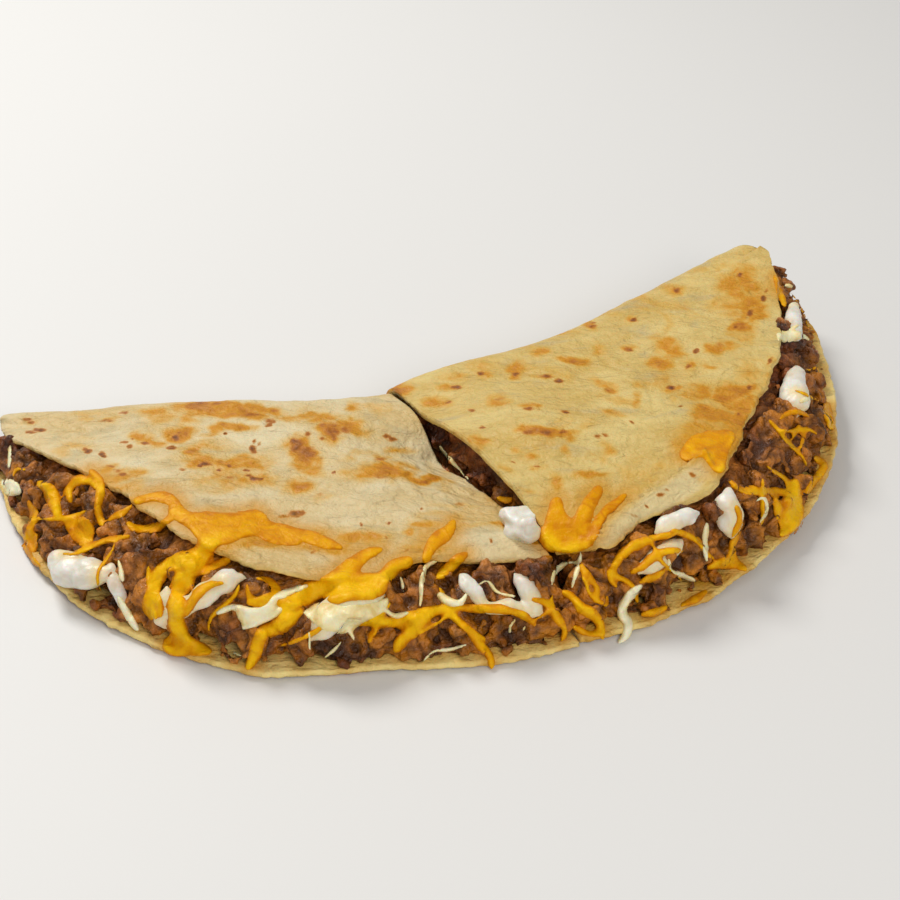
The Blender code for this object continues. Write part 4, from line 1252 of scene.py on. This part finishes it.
def leaf_relief(wedge, points):
    """The creases of an upper leaf, and on the right one the lift of its torn flap."""
    spots = seen_at(points).reshape(-1, 2)
    creased = sum(np.exp(-((gap_to(line, spots) / CREASE_HALF_WIDTH) ** 2)) for line in CREASES)
    relief = -CREASE_DEPTH * np.minimum(creased, 1.0)
    if wedge is RIGHT:
        lift = FLAP_RISE * (1 - ease(gap_to(SLIT, spots) / FLAP_REACH))
        relief += np.where(inside(np.array(FLAP, float), spots) > 0, lift, 0.0)
    return relief.reshape(points.shape[:-1])


def rim_roll(outer, inner, behind):
    """The rounded edge between the two skins of a sheet."""
    out = unit(outer - behind)
    return ((outer + inner) / 2 + out * TORTILLA_THICKNESS * ROLL_REACH)[:, None]


def loop_faces(rows, count):
    """Faces between rows of closed loops."""
    faces = []
    for row in range(rows - 1):
        start = row * count
        for index in range(count):
            after = (index + 1) % count
            faces.append((start + index, start + after, start + count + after, start + count + index))
    return faces


def end_faces(start, skin, count):
    """The cut end of a sheet: a strip of faces from its outer skin to its inner one."""
    faces = [(start + skin - 1, start + skin, start + skin + 1)]
    faces.append((start, start + count - 1, start + count - 2))
    for index in range(skin - 1):
        across = start + count - 2 - index
        faces.append((start + index, start + index + 1, across - 1, across))
    return faces


def face_outward(thing):
    shape = bmesh.new()
    shape.from_mesh(thing.data)
    bmesh.ops.recalc_face_normals(shape, faces=shape.faces)
    if shape.calc_volume(signed=True) < 0:
        bmesh.ops.reverse_faces(shape, faces=shape.faces)
    shape.to_mesh(thing.data)
    shape.free()


def marked(points, marks, raggedness):
    """How strongly each point is marked, by the strongest of the marks that it shows within."""
    moved = points.copy()
    for axis, seed in enumerate(MARK_SEEDS):
        moved[:, axis] += sum(noise_at(points, size, seed) * reach for size, reach in raggedness)
    spots = seen_at(moved)
    strengths = np.zeros(len(points))
    for x, y, half_width, half_height, strength in marks:
        gap = ((spots[:, 0] - x) / half_width) ** 2 + ((spots[:, 1] - y) / half_height) ** 2
        strengths = np.maximum(strengths, strength * np.exp(-(gap**MARK_STEEPNESS) * MARK_FALL))
    return strengths


def hidden_marks(points, wedge):
    """Toasted marks scattered over the lower leaf and the fold."""
    draws = random.Random(wedge.seed)
    wobble = noise_at(points, HIDDEN_RAGGEDNESS[0]) * HIDDEN_RAGGEDNESS[1]
    strengths = np.zeros(len(points))
    for _ in range(HIDDEN_MARKS):
        ribs = ribs_at(wedge, np.array([draws.random()]))
        centre = ribs.lower[0] + (ribs.fold[0] - ribs.lower[0]) * draws.random()
        radius, strength = draws.uniform(*HIDDEN_RADII), draws.uniform(*HIDDEN_STRENGTHS)
        gap = np.linalg.norm(points - centre, axis=1) + wobble
        strengths = np.maximum(strengths, strength * np.exp(-((gap / radius) ** 2)))
    return strengths


def toast_sheet(thing, wedge):
    """Note each point's golden clouds and toasted spots, as seen on top and scattered below."""
    points = points_of(thing)
    outer, above = read_attribute(thing, "outer"), read_attribute(thing, "above")
    below = hidden_marks(points, wedge)
    clouds = marked(points, CLOUDS[wedge.name], CLOUD_RAGGEDNESS)
    spots = marked(points, SPOTS[wedge.name], SPOT_RAGGEDNESS)
    set_attribute(thing, "cloud", outer * np.where(above > 0, clouds, np.sqrt(below)))
    set_attribute(thing, "toast", outer * np.where(above > 0, spots, below * HIDDEN_TOAST))
    pale = np.clip(inside(np.array(FLAP, float), seen_at(points)) / FLAP_FADE, 0.0, 1.0)
    set_attribute(thing, "pale", pale * above * (wedge is RIGHT))


def read_attribute(thing, name):
    values = np.empty(len(thing.data.vertices), np.float32)
    thing.data.attributes[name].data.foreach_get("value", values)
    return values


def lump(centre, size, draws, detail):
    """One irregular crumble of browned beef: its points and faces."""
    shape = bmesh.new()
    bmesh.ops.create_icosphere(shape, subdivisions=detail, radius=1.0)
    stretch = Vector([draws.uniform(*span) for span in LUMP_WIDTHS])
    seat = Vector((draws.uniform(0, NOISE_SPAN), draws.uniform(0, NOISE_SPAN), 0.0))
    turn = Matrix.Rotation(draws.uniform(0, math.tau), 3, Vector((draws.random(), draws.random(), 1.0)))
    for vertex in shape.verts:
        bump = 1 + BEEF_BUMPS * noise.noise(vertex.co * LUMP_NOISE + seat)
        vertex.co = turn @ (vertex.co * stretch * bump * size) + Vector(centre)
    return take_mesh(shape)


def take_mesh(shape):
    """A bmesh's points and faces as lists, and the bmesh freed."""
    shape.verts.index_update()
    points = [tuple(vertex.co) for vertex in shape.verts]
    faces = [tuple(vertex.index for vertex in face.verts) for face in shape.faces]
    shape.free()
    return points, faces


def heap(name, parts, material):
    """One object from several parts of (points, faces)."""
    points, faces = [], []
    for some_points, some_faces in parts:
        start = len(points)
        points.extend(some_points)
        faces.extend(tuple(start + corner for corner in face) for face in some_faces)
    return mesh_object(name, points, faces, material)


def face_seats(wedge, draws):
    """The main crumbles' centres and sizes along the front face, row by row, spaced by arc length."""
    for low_share, high_share in BEEF_ROWS:
        place = FIRST_CHUNK
        while place < LAST_CHUNK:
            share = draws.uniform(low_share, high_share)
            size = draws.uniform(*BEEF_SIZES) * (1 - BEEF_NARROWING * place)
            yield face_points(wedge, place, share, -BEEF_DEPTH * size), size
            behind = face_points(wedge, place, share)
            ahead = face_points(wedge, place + SLOPE_STEP, share)
            pace = np.linalg.norm(ahead - behind) / SLOPE_STEP
            place += BEEF_SPACING * draws.uniform(*BEEF_PACES) / pace


def into_wedge(wedge):
    """The level direction from the cut into a wedge."""
    ribs = ribs_at(wedge, 0.0)
    across = unit(ribs.upper - ribs.fold)
    return np.array((-across[1], across[0], 0.0)) * wedge.side


def cut_seats(wedge, draws):
    """Crumbles' centres and sizes along the cut face, behind the plane of the cut."""
    ribs = ribs_at(wedge, 0.0)
    for step in range(CUT_CRUMBS):
        share = (step + 0.5) / CUT_CRUMBS
        seat = ribs.fold + (ribs.upper - ribs.fold) * share
        near = np.array([SLOPE_STEP])
        top = upper_leaf(wedge, ribs_at(wedge, near), near, np.array([share]))
        room = top[0, 0, 2] - 2 * TORTILLA_THICKNESS
        seat[2] = TORTILLA_THICKNESS + room * draws.uniform(*CUT_CRUMB_LEVELS)
        size = min(room * CUT_CRUMB_REACH, draws.uniform(*BEEF_SIZES))
        yield seat + into_wedge(wedge) * (size * CUT_CRUMB_DEPTH), size


def small_seats(wedge, draws):
    """Loose crumbs between the main crumbles, and a few along the foot of the face."""
    for _ in range(CRUMBS_PER_WEDGE):
        size = CRUMB_SIZES[0] + (CRUMB_SIZES[1] - CRUMB_SIZES[0]) * draws.random() ** CRUMB_SKEW
        share = draws.uniform(*CRUMB_SHARES)
        proud = draws.uniform(*CRUMB_PROUD)
        yield face_points(wedge, draws.uniform(*CRUMB_PLACES), share, proud), size


def rim_seats(wedge, draws):
    """Crumbs that have rolled out on to the lower leaf in front of the face."""
    for _ in range(RIM_CRUMBS):
        ribs = ribs_at(wedge, draws.uniform(*RIM_CRUMB_PLACES))
        seat = ribs.lower - unit(ribs.lower - ribs.fold) * draws.uniform(RIM_CRUMB_INSET, FOOT_INSET)
        size = draws.uniform(*RIM_CRUMB_SIZES)
        seat[2] = ribs.lift * FOOT_LIFT + TORTILLA_THICKNESS + size * RIM_CRUMB_SEAT
        yield seat, size


def filling(wedge, material):
    """The heap of beef: a rough body of the solid's own form, with crumbles and crumbs over its face."""
    face_draws = random.Random(BEEF_SEED + wedge.seed)
    cut_draws = random.Random(BEEF_SEED * 2 + wedge.seed)
    crumb_draws = random.Random(BEEF_SEED * 3 + wedge.seed)
    centres, parts = [], []
    for seats, draws, detail in (
        (face_seats(wedge, face_draws), face_draws, CRUMBLE_DETAIL),
        (cut_seats(wedge, cut_draws), cut_draws, CUT_CRUMB_DETAIL),
        (small_seats(wedge, crumb_draws), crumb_draws, CRUMB_DETAIL),
        (rim_seats(wedge, crumb_draws), crumb_draws, CRUMB_DETAIL),
    ):
        for centre, size in seats:
            parts.append(lump(centre, size, draws, detail))
            centres.append(centre)
    crumbles = heap(f"crumbles_{wedge.name}", parts, material)
    melt(crumbles, CRUMBLE_VOXEL, 0)
    body = filling_body(wedge, material)
    thing = joined(f"beef_{wedge.name}", [crumbles, body], material)
    roughen(thing, centres)
    return thing


def filling_body(wedge, material):
    """The solid filling's own form, drawn in a little so that the crumbles lie over it."""
    body = bpy.data.objects.new("body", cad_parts[f"filling_{wedge.name}"].data.copy())
    bpy.context.scene.collection.objects.link(body)
    body.data.materials.clear()
    melt(body, BASE_VOXEL, 0)
    move_points(body, points_of(body) - normals_of(body) * BASE_INSET)
    body.data.materials.append(material)
    return body


def joined(name, things, material):
    """One object from the meshes of several, which are removed."""
    parts = []
    for thing in things:
        faces = [tuple(face.vertices) for face in thing.data.polygons]
        parts.append((points_of(thing).tolist(), faces))
        bpy.data.objects.remove(thing, do_unlink=True)
    return heap(name, parts, material)


def keep_on_leaf(thing, leaves):
    """Raise whatever of a heap would come out under the lower leaf that it lies on."""
    points = points_of(thing)
    for index, (x, y, z) in enumerate(points):
        if z < LEAF_CHECK_HEIGHT:
            under = leaves.tree.ray_cast(Vector((x, y, -1.0)), Vector((0.0, 0.0, 1.0)))[0]
            points[index, 2] = max(z, (under.z if under else 0.0) + LEAF_CLEARANCE)
    move_points(thing, points)


def cavity(thing):
    """How far each point stands out of its surroundings, below zero in a hollow."""
    edges = np.empty(len(thing.data.edges) * 2, np.int32)
    thing.data.edges.foreach_get("vertices", edges)
    first, second = edges.reshape(-1, 2).T
    points = points_of(thing)
    count = np.maximum(np.bincount(edges, minlength=len(points)), 1)
    smooth = points.copy()
    for _ in range(CAVITY_ROUNDS):
        for axis in range(3):
            total = np.bincount(first, smooth[second, axis], len(points))
            total += np.bincount(second, smooth[first, axis], len(points))
            smooth[:, axis] = (smooth[:, axis] + total / count) / 2
    return np.sum((points - smooth) * normals_of(thing), axis=1)


def roughen(thing, centres):
    """Press the grain of ground meat into a heap, and note each point's tone and how much painted shade it
    takes from lying deep in a pit, crack or hollow.
    """
    points, normals = points_of(thing), normals_of(thing)
    # How deep each point lies in a hollow, for the painted shade there.
    hollow = np.clip(-cavity(thing) / CAVITY_DEPTH, 0.0, 1.0)
    gaps = np.array([noise.voronoi(Vector(place / GRAIN_SIZE))[0][0] for place in points])
    bends = [noise.noise_vector(Vector(place / CRACK_BEND_SIZE)) * CRACK_BEND for place in points]
    bent = [Vector(place / CLUMP_SIZE) + bend for place, bend in zip(points, bends)]
    clumps = np.array([noise.voronoi(place)[0][:2] for place in bent])
    cracks = np.exp(-(((clumps[:, 1] - clumps[:, 0]) / CRACK_WIDTH) ** 2))
    fine = noise_at(points, FINE_GRAIN_SIZE)
    height = GRAIN_HEIGHT * (GRAIN_LEVEL - gaps) + FINE_GRAIN_HEIGHT * fine
    height = np.minimum(height, PROUDEST_GRAIN) - CRACK_DEPTH * cracks
    move_points(thing, points + normals * height[:, None])
    # Painted shade: darker in the grain's pits and in the cracks between clumps.
    between = np.clip((gaps - GRAIN_SHADE_START) / GRAIN_SHADE_SPAN, 0.0, DARKEST_GRAIN_SHADE)
    pit_shade = np.maximum(between, DARKEST_CRACK_SHADE * cracks)
    set_attribute(thing, "crevice_shade", np.maximum(hollow, pit_shade))
    tree = KDTree(len(centres))
    for index, centre in enumerate(centres):
        tree.insert(Vector(centre), index)
    tree.balance()
    tones = np.array([random.Random(index).uniform(*CRUMBLE_TONES) for index in range(len(centres))])
    nearest = [tree.find(Vector(place))[1] for place in points]
    set_attribute(thing, "tone", tones[nearest])


def sweep(points, widths, thicknesses, lifts, sides):
    """A closed strand along points, with an oval section that lies square to lifts."""
    ahead = unit(np.gradient(points, axis=0))
    side = unit(np.cross(ahead, lifts))
    lift = np.cross(side, ahead)
    turn = np.linspace(0.0, math.tau, sides, endpoint=False)
    wide = side[:, None] * np.cos(turn)[None, :, None] * widths[:, None, None] / 2
    high = lift[:, None] * np.sin(turn)[None, :, None] * thicknesses[:, None, None] / 2
    rings = (points[:, None] + wide + high).reshape(-1, 3)
    faces = loop_faces(len(points), sides)
    faces.append(tuple(range(sides)))
    last = (len(points) - 1) * sides
    faces.append(tuple(last + index for index in reversed(range(sides))))
    return rings.tolist(), faces


def rounded_ends(count, fullness):
    """A strand's width along its length: full in the middle and closing at both ends."""
    share = np.linspace(0.0, 1.0, count)
    return np.maximum(np.sin(math.pi * share), 0.0) ** fullness * (1 - NARROWEST) + NARROWEST


def cream_ribbon(wedge, stops, width):
    """A flattened strand of cream through stops on the front face."""
    places, shares = np.array(stops).T
    seats = face_points(wedge, places, shares, CREAM_PROUD)
    rows = np.column_stack([np.arange(len(seats)), seats])
    points = through(rows, np.linspace(0, len(seats) - 1, CREAM_STEPS * (len(seats) - 1) + 1))
    end_reach = unit(points[[0, -1]] - points[[1, -2]]) * width * CREAM_END_REACH
    points = np.concatenate([points[:1] + end_reach[:1], points, points[-1:] + end_reach[1:]])
    wobble = 1 + CREAM_WOBBLE * noise_at(points, CREAM_WOBBLE_SIZE)
    widths = width * rounded_ends(len(points), CREAM_ENDS) * wobble
    lifts = np.broadcast_to((0.0, 0.0, 1.0), points.shape)
    return sweep(points, widths, widths * CREAM_FLATNESS, lifts, CREAM_SIDES)


def cream_pool(name, wedge, ribbons, material):
    """One pool of cream from its ribbons."""
    parts = [cream_ribbon(wedge, *ribbon) for ribbon in ribbons]
    thing = heap(f"{name}_soft", parts, material)
    finish_cream(thing)
    return thing


def cut_cream(material):
    """The dollop that squeezes out of the cut and lies on the left leaf."""
    ribs = ribs_at(LEFT, 0.0)
    along = unit(ribs.upper - ribs.fold)
    seat = ribs.fold + (ribs.upper - ribs.fold) * CUT_CREAM_SHARE + into_wedge(LEFT) * CUT_CREAM_ASIDE
    seat[2] = CUT_CREAM_HEIGHT
    turn = Matrix.Rotation(math.atan2(along[1], along[0]), 3, "Z")
    shape = bmesh.new()
    bmesh.ops.create_icosphere(shape, subdivisions=5, radius=1.0)
    for vertex in shape.verts:
        dent = 1 + CUT_CREAM_DENTS * noise.noise(vertex.co * CUT_CREAM_NOISE + Vector(CUT_CREAM_SEAT))
        square = [math.copysign(abs(part) ** CUT_CREAM_SQUARENESS, part) for part in vertex.co]
        sides = Vector(part * radius for part, radius in zip(square, CUT_CREAM_RADII))
        vertex.co = turn @ (sides * dent) + Vector(seat)
    thing = heap("cream_cut_soft", [take_mesh(shape)], material)
    finish_cream(thing)
    return thing


def finish_cream(thing):
    """Soften a pool and press gentle folds into it."""
    melt(thing, CREAM_VOXEL, CREAM_SOFTENING)
    points = points_of(thing)
    folds = relief_at(points, CREAM_RELIEF)
    move_points(thing, points + normals_of(thing) * folds[:, None])


def along_way(way, step):
    """Evenly spaced places along a strand's way through the photograph."""
    way = np.array(way, float)
    if len(way) < 3:
        way = np.array([way[0], way.mean(axis=0), way[-1]])
    lengths = np.concatenate([[0.0], np.cumsum(np.linalg.norm(np.diff(way, axis=0), axis=1))])
    rows = np.column_stack([lengths, way])
    return through(rows, np.linspace(0.0, lengths[-1], max(int(lengths[-1] / step), FEWEST_SPOTS)))


def inside(outline, spots):
    """How far each spot is inside an outline, in pixels, and below zero outside it."""
    starts, ends = outline, np.roll(outline, -1, axis=0)
    runs = ends - starts
    above = (starts[:, 1] > spots[:, 1:]) != (ends[:, 1] > spots[:, 1:])
    slope = np.where(runs[:, 1] == 0, 1e-9, runs[:, 1])
    crossing = starts[:, 0] + (spots[:, 1:] - starts[:, 1]) * runs[:, 0] / slope
    odd = np.sum(above & (spots[:, :1] < crossing), axis=1) % 2 == 1
    gaps = gap_to([*outline, outline[0]], spots)
    return np.where(odd, gaps, -gaps)


def least_near(values, reach):
    """The least of each value and its neighbours on a grid."""
    for axis in (0, 1):
        values = np.min([np.roll(values, shift, axis) for shift in range(-reach, reach + 1)], axis=0)
    return values


def mean_near(values, reach):
    """The mean of each value and its known neighbours on a grid."""
    known = np.isfinite(values).astype(float)
    values = np.where(known > 0, values, 0.0)
    for axis in (0, 1):
        values = sum(np.roll(values, shift, axis) for shift in range(-reach, reach + 1))
        known = sum(np.roll(known, shift, axis) for shift in range(-reach, reach + 1))
    return values / np.maximum(known, 1.0)


class Melt:
    """A grid over the photograph on which one cheese is laid: how fully it covers, and how thickly."""

    def __init__(self):
        (left, top), (right, bottom) = CANVAS
        across = np.arange(left, right, CANVAS_STEP)
        down = np.arange(top, bottom, CANVAS_STEP)
        self.corner = np.array((left, top))
        self.spots = np.stack(np.meshgrid(across, down, indexing="ij"), axis=-1)
        self.cover = np.zeros(self.spots.shape[:2])
        self.load = np.zeros(self.spots.shape[:2])

    def window(self, low, high):
        """The part of the grid between two corners."""
        start = np.maximum((low - self.corner) // CANVAS_STEP, 0).astype(int)
        stop = np.maximum((high - self.corner) // CANVAS_STEP + 2, 0).astype(int)
        return slice(start[0], stop[0]), slice(start[1], stop[1])

    def add(self, window, cover, depth):
        self.cover[window] += cover
        self.load[window] += cover * depth

    def stroke(self, width, way, depth):
        """Lay a strand, whose edge is where its cover falls to EDGE."""
        spots = along_way(way, STRAND_STEP)
        wobble = noise_at(np.column_stack([spots, 0 * spots[:, 0]]), RAGGED_SIZE * 2, width)
        halves = width / 2 * rounded_ends(len(spots), STRAND_ENDS) * (1 + STRAND_WOBBLE * wobble)
        margin = width + STRAND_MARGIN
        window = self.window(spots.min(axis=0) - margin, spots.max(axis=0) + margin)
        gaps = np.linalg.norm(self.spots[window][:, :, None] - spots, axis=-1) / halves
        self.add(window, np.exp(-STRAND_FALL * gaps.min(axis=-1) ** 2), depth)

    def pool(self, outline, depth):
        """Lay a spread patch that thins towards its outline."""
        outline = np.array(outline, float)
        rows = np.column_stack([np.arange(len(outline) + 1), [*outline, outline[0]]])
        outline = through(rows, np.arange(0.0, len(outline), 0.5))
        window = self.window(outline.min(axis=0) - POOL_EDGE, outline.max(axis=0) + POOL_EDGE)
        spots = self.spots[window]
        within = inside(outline, spots.reshape(-1, 2)).reshape(spots.shape[:2])
        full = EDGE + (1 - EDGE) * np.minimum(within / POOL_EDGE, 1.0)
        faded = EDGE * np.exp(np.minimum(within, 0.0) / POOL_FADE)
        self.add(window, np.where(within > 0, full, faded), depth)

    def rises(self):
        """The cheese's height at each place: EDGE of cover is its edge, and less is its skirt."""
        level = np.column_stack([self.spots.reshape(-1, 2), np.zeros(self.cover.size)])
        ragged = noise_at(level, RAGGED_SIZE).reshape(self.cover.shape)
        lumps = noise_at(level, RAGGED_SIZE * 2, LUMPS_OFFSET).reshape(self.cover.shape)
        cover = self.cover * (1 + EDGE_RAGGEDNESS * ragged)
        share = np.clip((cover - EDGE) / (1 - EDGE), -EDGE, 1.0)
        depth = self.load / np.maximum(self.cover, 1e-6) * (1 + DEPTH_LUMPS * lumps)
        depth = depth * self.flattening()
        lowest = EDGE * (SKIRT - 1) / (1 - EDGE)
        rise = np.where(share > 0, depth * np.sqrt(np.maximum(share, 0.0)), -SKIRT_DEPTH * share / lowest)
        return rise, cover > EDGE * SKIRT

    def flattening(self):
        """How much of its height the cheese keeps at each place, less on the upper leaves."""
        spots, kept = self.spots.reshape(-1, 2), 1.0
        for outline in FLAT_AREAS:
            within = inside(np.array(outline, float), spots).reshape(self.cover.shape)
            kept = kept * (1 - (1 - FLAT_SHARE) * np.clip(within / FLAT_FADE, 0.0, 1.0))
        return kept

    def distances(self, surface, wanted):
        """How far the surface lies from the camera, and how squarely it faces, at the wanted places."""
        distances = np.full(wanted.shape, np.inf)
        facing = np.full(wanted.shape, np.nan)
        for place in zip(*np.nonzero(wanted)):
            line = sight_line(*self.spots[place])
            point, normal, distance = surface.behind(*self.spots[place])
            floor = -CAMERA_PLACE[2] / line[2]
            distances[place] = floor if distance is None else min(distance, floor)
            facing[place] = -line[2] if normal is None else abs(Vector(line).dot(normal))
        return distances, facing

    def drape(self, surface):
        """The cheese as a sheet over the surface, spanning its hollows: points and faces."""
        rise, laid = self.rises()
        distances, facing = self.distances(surface, least_near(-1.0 * laid, SMOOTH_REACH) < 0)
        nearest = least_near(distances, BRIDGE_REACH)
        nearest = np.where(np.isfinite(nearest), nearest, -np.inf)
        opened = -least_near(-nearest, BRIDGE_REACH)
        opened = np.where(np.isfinite(distances), opened, np.inf)
        bridged = mean_near(opened, SMOOTH_REACH)
        bridged = np.minimum(mean_near(np.where(laid, bridged, np.inf), 1), distances - THINNEST)
        slant = np.clip(mean_near(facing, SMOOTH_REACH), FLATTEST_VIEW, 1.0)
        self.thickness = rise
        lines = np.array([sight_line(x, y) for x, y in self.spots[laid]])
        near, lift = bridged[laid][:, None], (rise / slant)[laid][:, None]
        top, bottom = CAMERA_PLACE + lines * (near - lift), CAMERA_PLACE + lines * (near + SHEET_BACK)
        points = np.concatenate([top, bottom])
        points[:, 2] = np.maximum(points[:, 2], LOWEST_CHEESE)
        return points.tolist(), sheet_faces(laid)

    def thickness_at(self, points):
        """The cheese's height where points appear in the photograph, from 0 to 1."""
        places = np.rint((seen_at(points) - self.corner) / CANVAS_STEP).astype(int)
        places = np.clip(places, 0, np.array(self.cover.shape) - 1)
        return np.clip(self.thickness[places[:, 0], places[:, 1]] / THICK, 0.0, 1.0)


def sheet_faces(laid):
    """The faces of a sheet with a point in front and one behind at each place laid."""
    count = np.count_nonzero(laid)
    index = np.full(laid.shape, -1)
    index[laid] = np.arange(count)
    corners = np.stack([index[:-1, :-1], index[:-1, 1:], index[1:, 1:], index[1:, :-1]], axis=-1)
    front = corners[(corners >= 0).all(axis=-1)]
    back = front[:, ::-1] + count
    edges = np.concatenate([front[:, [start, (start + 1) % 4]] for start in range(4)])
    known = set(map(tuple, edges.tolist()))
    rim = [edge for edge in known if edge[::-1] not in known]
    walls = [(second, first, first + count, second + count) for first, second in rim]
    return [tuple(face) for face in [*front.tolist(), *back.tolist(), *walls]]


def face_strands(wedge):
    """The melted shreds of the solids, which cross the front face on a slant: widths and ways."""
    draws = random.Random(CHEESE_SEED + wedge.seed)
    place = FIRST_STRAND
    while place < LAST_STRAND:
        lean = draws.uniform(*FACE_LEANS)
        low, high = draws.uniform(*FACE_STARTS), draws.uniform(*FACE_ENDS)
        proud = draws.uniform(*FACE_PROUD)
        shares = np.linspace(0.0, 1.0, FACE_STOPS)
        sway = FACE_SWAY * np.sin(FACE_BENDS * shares + place * FACE_TURNS)
        points = face_points(wedge, place + lean * shares + sway, low + (high - low) * shares, proud)
        width = CHEESE_WIDTH * draws.uniform(*FACE_WIDTHS)
        pixels = width * FOCAL_PIXELS / np.linalg.norm(points[0] - CAMERA_PLACE)
        yield pixels, seen_at(points)[::FACE_SKIP]
        place += CHEESE_SPACING * draws.uniform(*FACE_PACES) / FACE_LENGTH


def cheese(name, melted, surface, material):
    """One cheese as a closed, softened mesh that knows how thick it lies."""
    points, faces = melted.drape(surface)
    thing = mesh_object(name, points, faces, material)
    melt(thing, CHEESE_VOXEL, CHEESE_SOFTENING)
    points = points_of(thing)
    set_attribute(thing, "thick", melted.thickness_at(points))
    move_points(thing, points + normals_of(thing) * relief_at(points, CHEESE_RELIEF)[:, None])
    return thing


def closeness(points, others, reach):
    """How near each point is to another piece: 1 on it, falling to 0 past reach."""
    places = points_of(others)[::NEIGHBOUR_SKIP]
    tree = KDTree(len(places))
    for index, place in enumerate(places):
        tree.insert(place, index)
    tree.balance()
    gaps = np.array([tree.find(place)[2] for place in points])
    return np.exp(-((gaps / reach) ** 2))


def lay_cheese(sheets, heaps, creams):
    """Lay the two cheeses over everything else, the white one last."""
    yellow, pale = Melt(), Melt()
    for melted, strands, growth in ((yellow, CHEDDAR, CHEDDAR_GROWTH), (pale, JACK, JACK_GROWTH)):
        for width, way in strands:
            depth = min(width * PIXEL_SIZE * STRAND_FLATNESS, STRAND_THICKEST)
            melted.stroke(width * growth, way, depth)
    for wedge in WEDGES:
        for width, way in face_strands(wedge):
            yellow.stroke(width, way, FACE_THICKNESS)
    for melted, pools in ((yellow, POOLS), (pale, PALE_POOLS)):
        for depth, outline in pools:
            melted.pool(outline, depth)
    ground = [*sheets, *heaps, *creams]
    cheddar = cheese("cheddar_melted", yellow, Surface(ground), cheddar_material())
    jack = cheese("white_cheese_melted", pale, Surface([*ground, cheddar]), jack_material())
    dress(cheddar, "filling")
    dress(jack, "filling")
    return cheddar


def soak(sheets, heaps, creams, cheddar):
    """Note how far butterfat and the beef's juice have soaked into each piece."""
    for thing in sheets:
        points = points_of(thing)
        grease = closeness(points, cheddar, LEAF_GREASE_REACH) * LEAF_GREASE
        juice = np.maximum(*(closeness(points, pile, LEAF_JUICE_REACH) for pile in heaps)) * LEAF_JUICE
        within = read_attribute(thing, "outer") <= 0
        grease = np.maximum(grease, juice * within)
        soaked = marked(points, GLAZE, CLOUD_RAGGEDNESS) * (read_attribute(thing, "above") < 1)
        set_attribute(thing, "grease", np.maximum(grease, soaked))
    for thing in heaps:
        points = points_of(thing)
        stain = closeness(points, cheddar, BEEF_STAIN_REACH) * BEEF_STAINED
        set_attribute(thing, "stain", np.maximum(stain, marked(points, GLAZE, CLOUD_RAGGEDNESS)))
    for thing in creams:
        points = points_of(thing)
        juice = np.maximum(*(closeness(points, pile, CREAM_JUICE_REACH) for pile in heaps))
        set_attribute(thing, "stain", closeness(points, cheddar, CREAM_STAIN_REACH) * CREAM_STAINED)
        set_attribute(thing, "juice", juice * CREAM_STAINED)


def main():
    # The bends of the cracks in the beef draw on this seed.
    noise.seed_set(BEEF_SEED)
    make_camera()
    make_studio()
    sheets = [tortilla_sheet(wedge) for wedge in WEDGES]
    for thing, wedge in zip(sheets, WEDGES):
        toast_sheet(thing, wedge)
        dress(thing, f"tortilla_{wedge.name}", f"tortilla_{wedge.name}")
    brown, white = beef_material(), cream_material()
    heaps = [filling(wedge, brown) for wedge in WEDGES]
    leaves = Surface(sheets)
    for thing, wedge in zip(heaps, WEDGES):
        keep_on_leaf(thing, leaves)
        dress(thing, "filling", f"filling_{wedge.name}")
    creams = []
    for name, wedge, ribbons in CREAM_POOLS:
        creams.append(cream_pool(name, wedge, ribbons, white))
        dress(creams[-1], "cream", name)
    creams.append(cut_cream(white))
    dress(creams[-1], "cream", "cream_cut")
    cheddar = lay_cheese(sheets, heaps, creams)
    soak(sheets, heaps, creams, cheddar)


main()
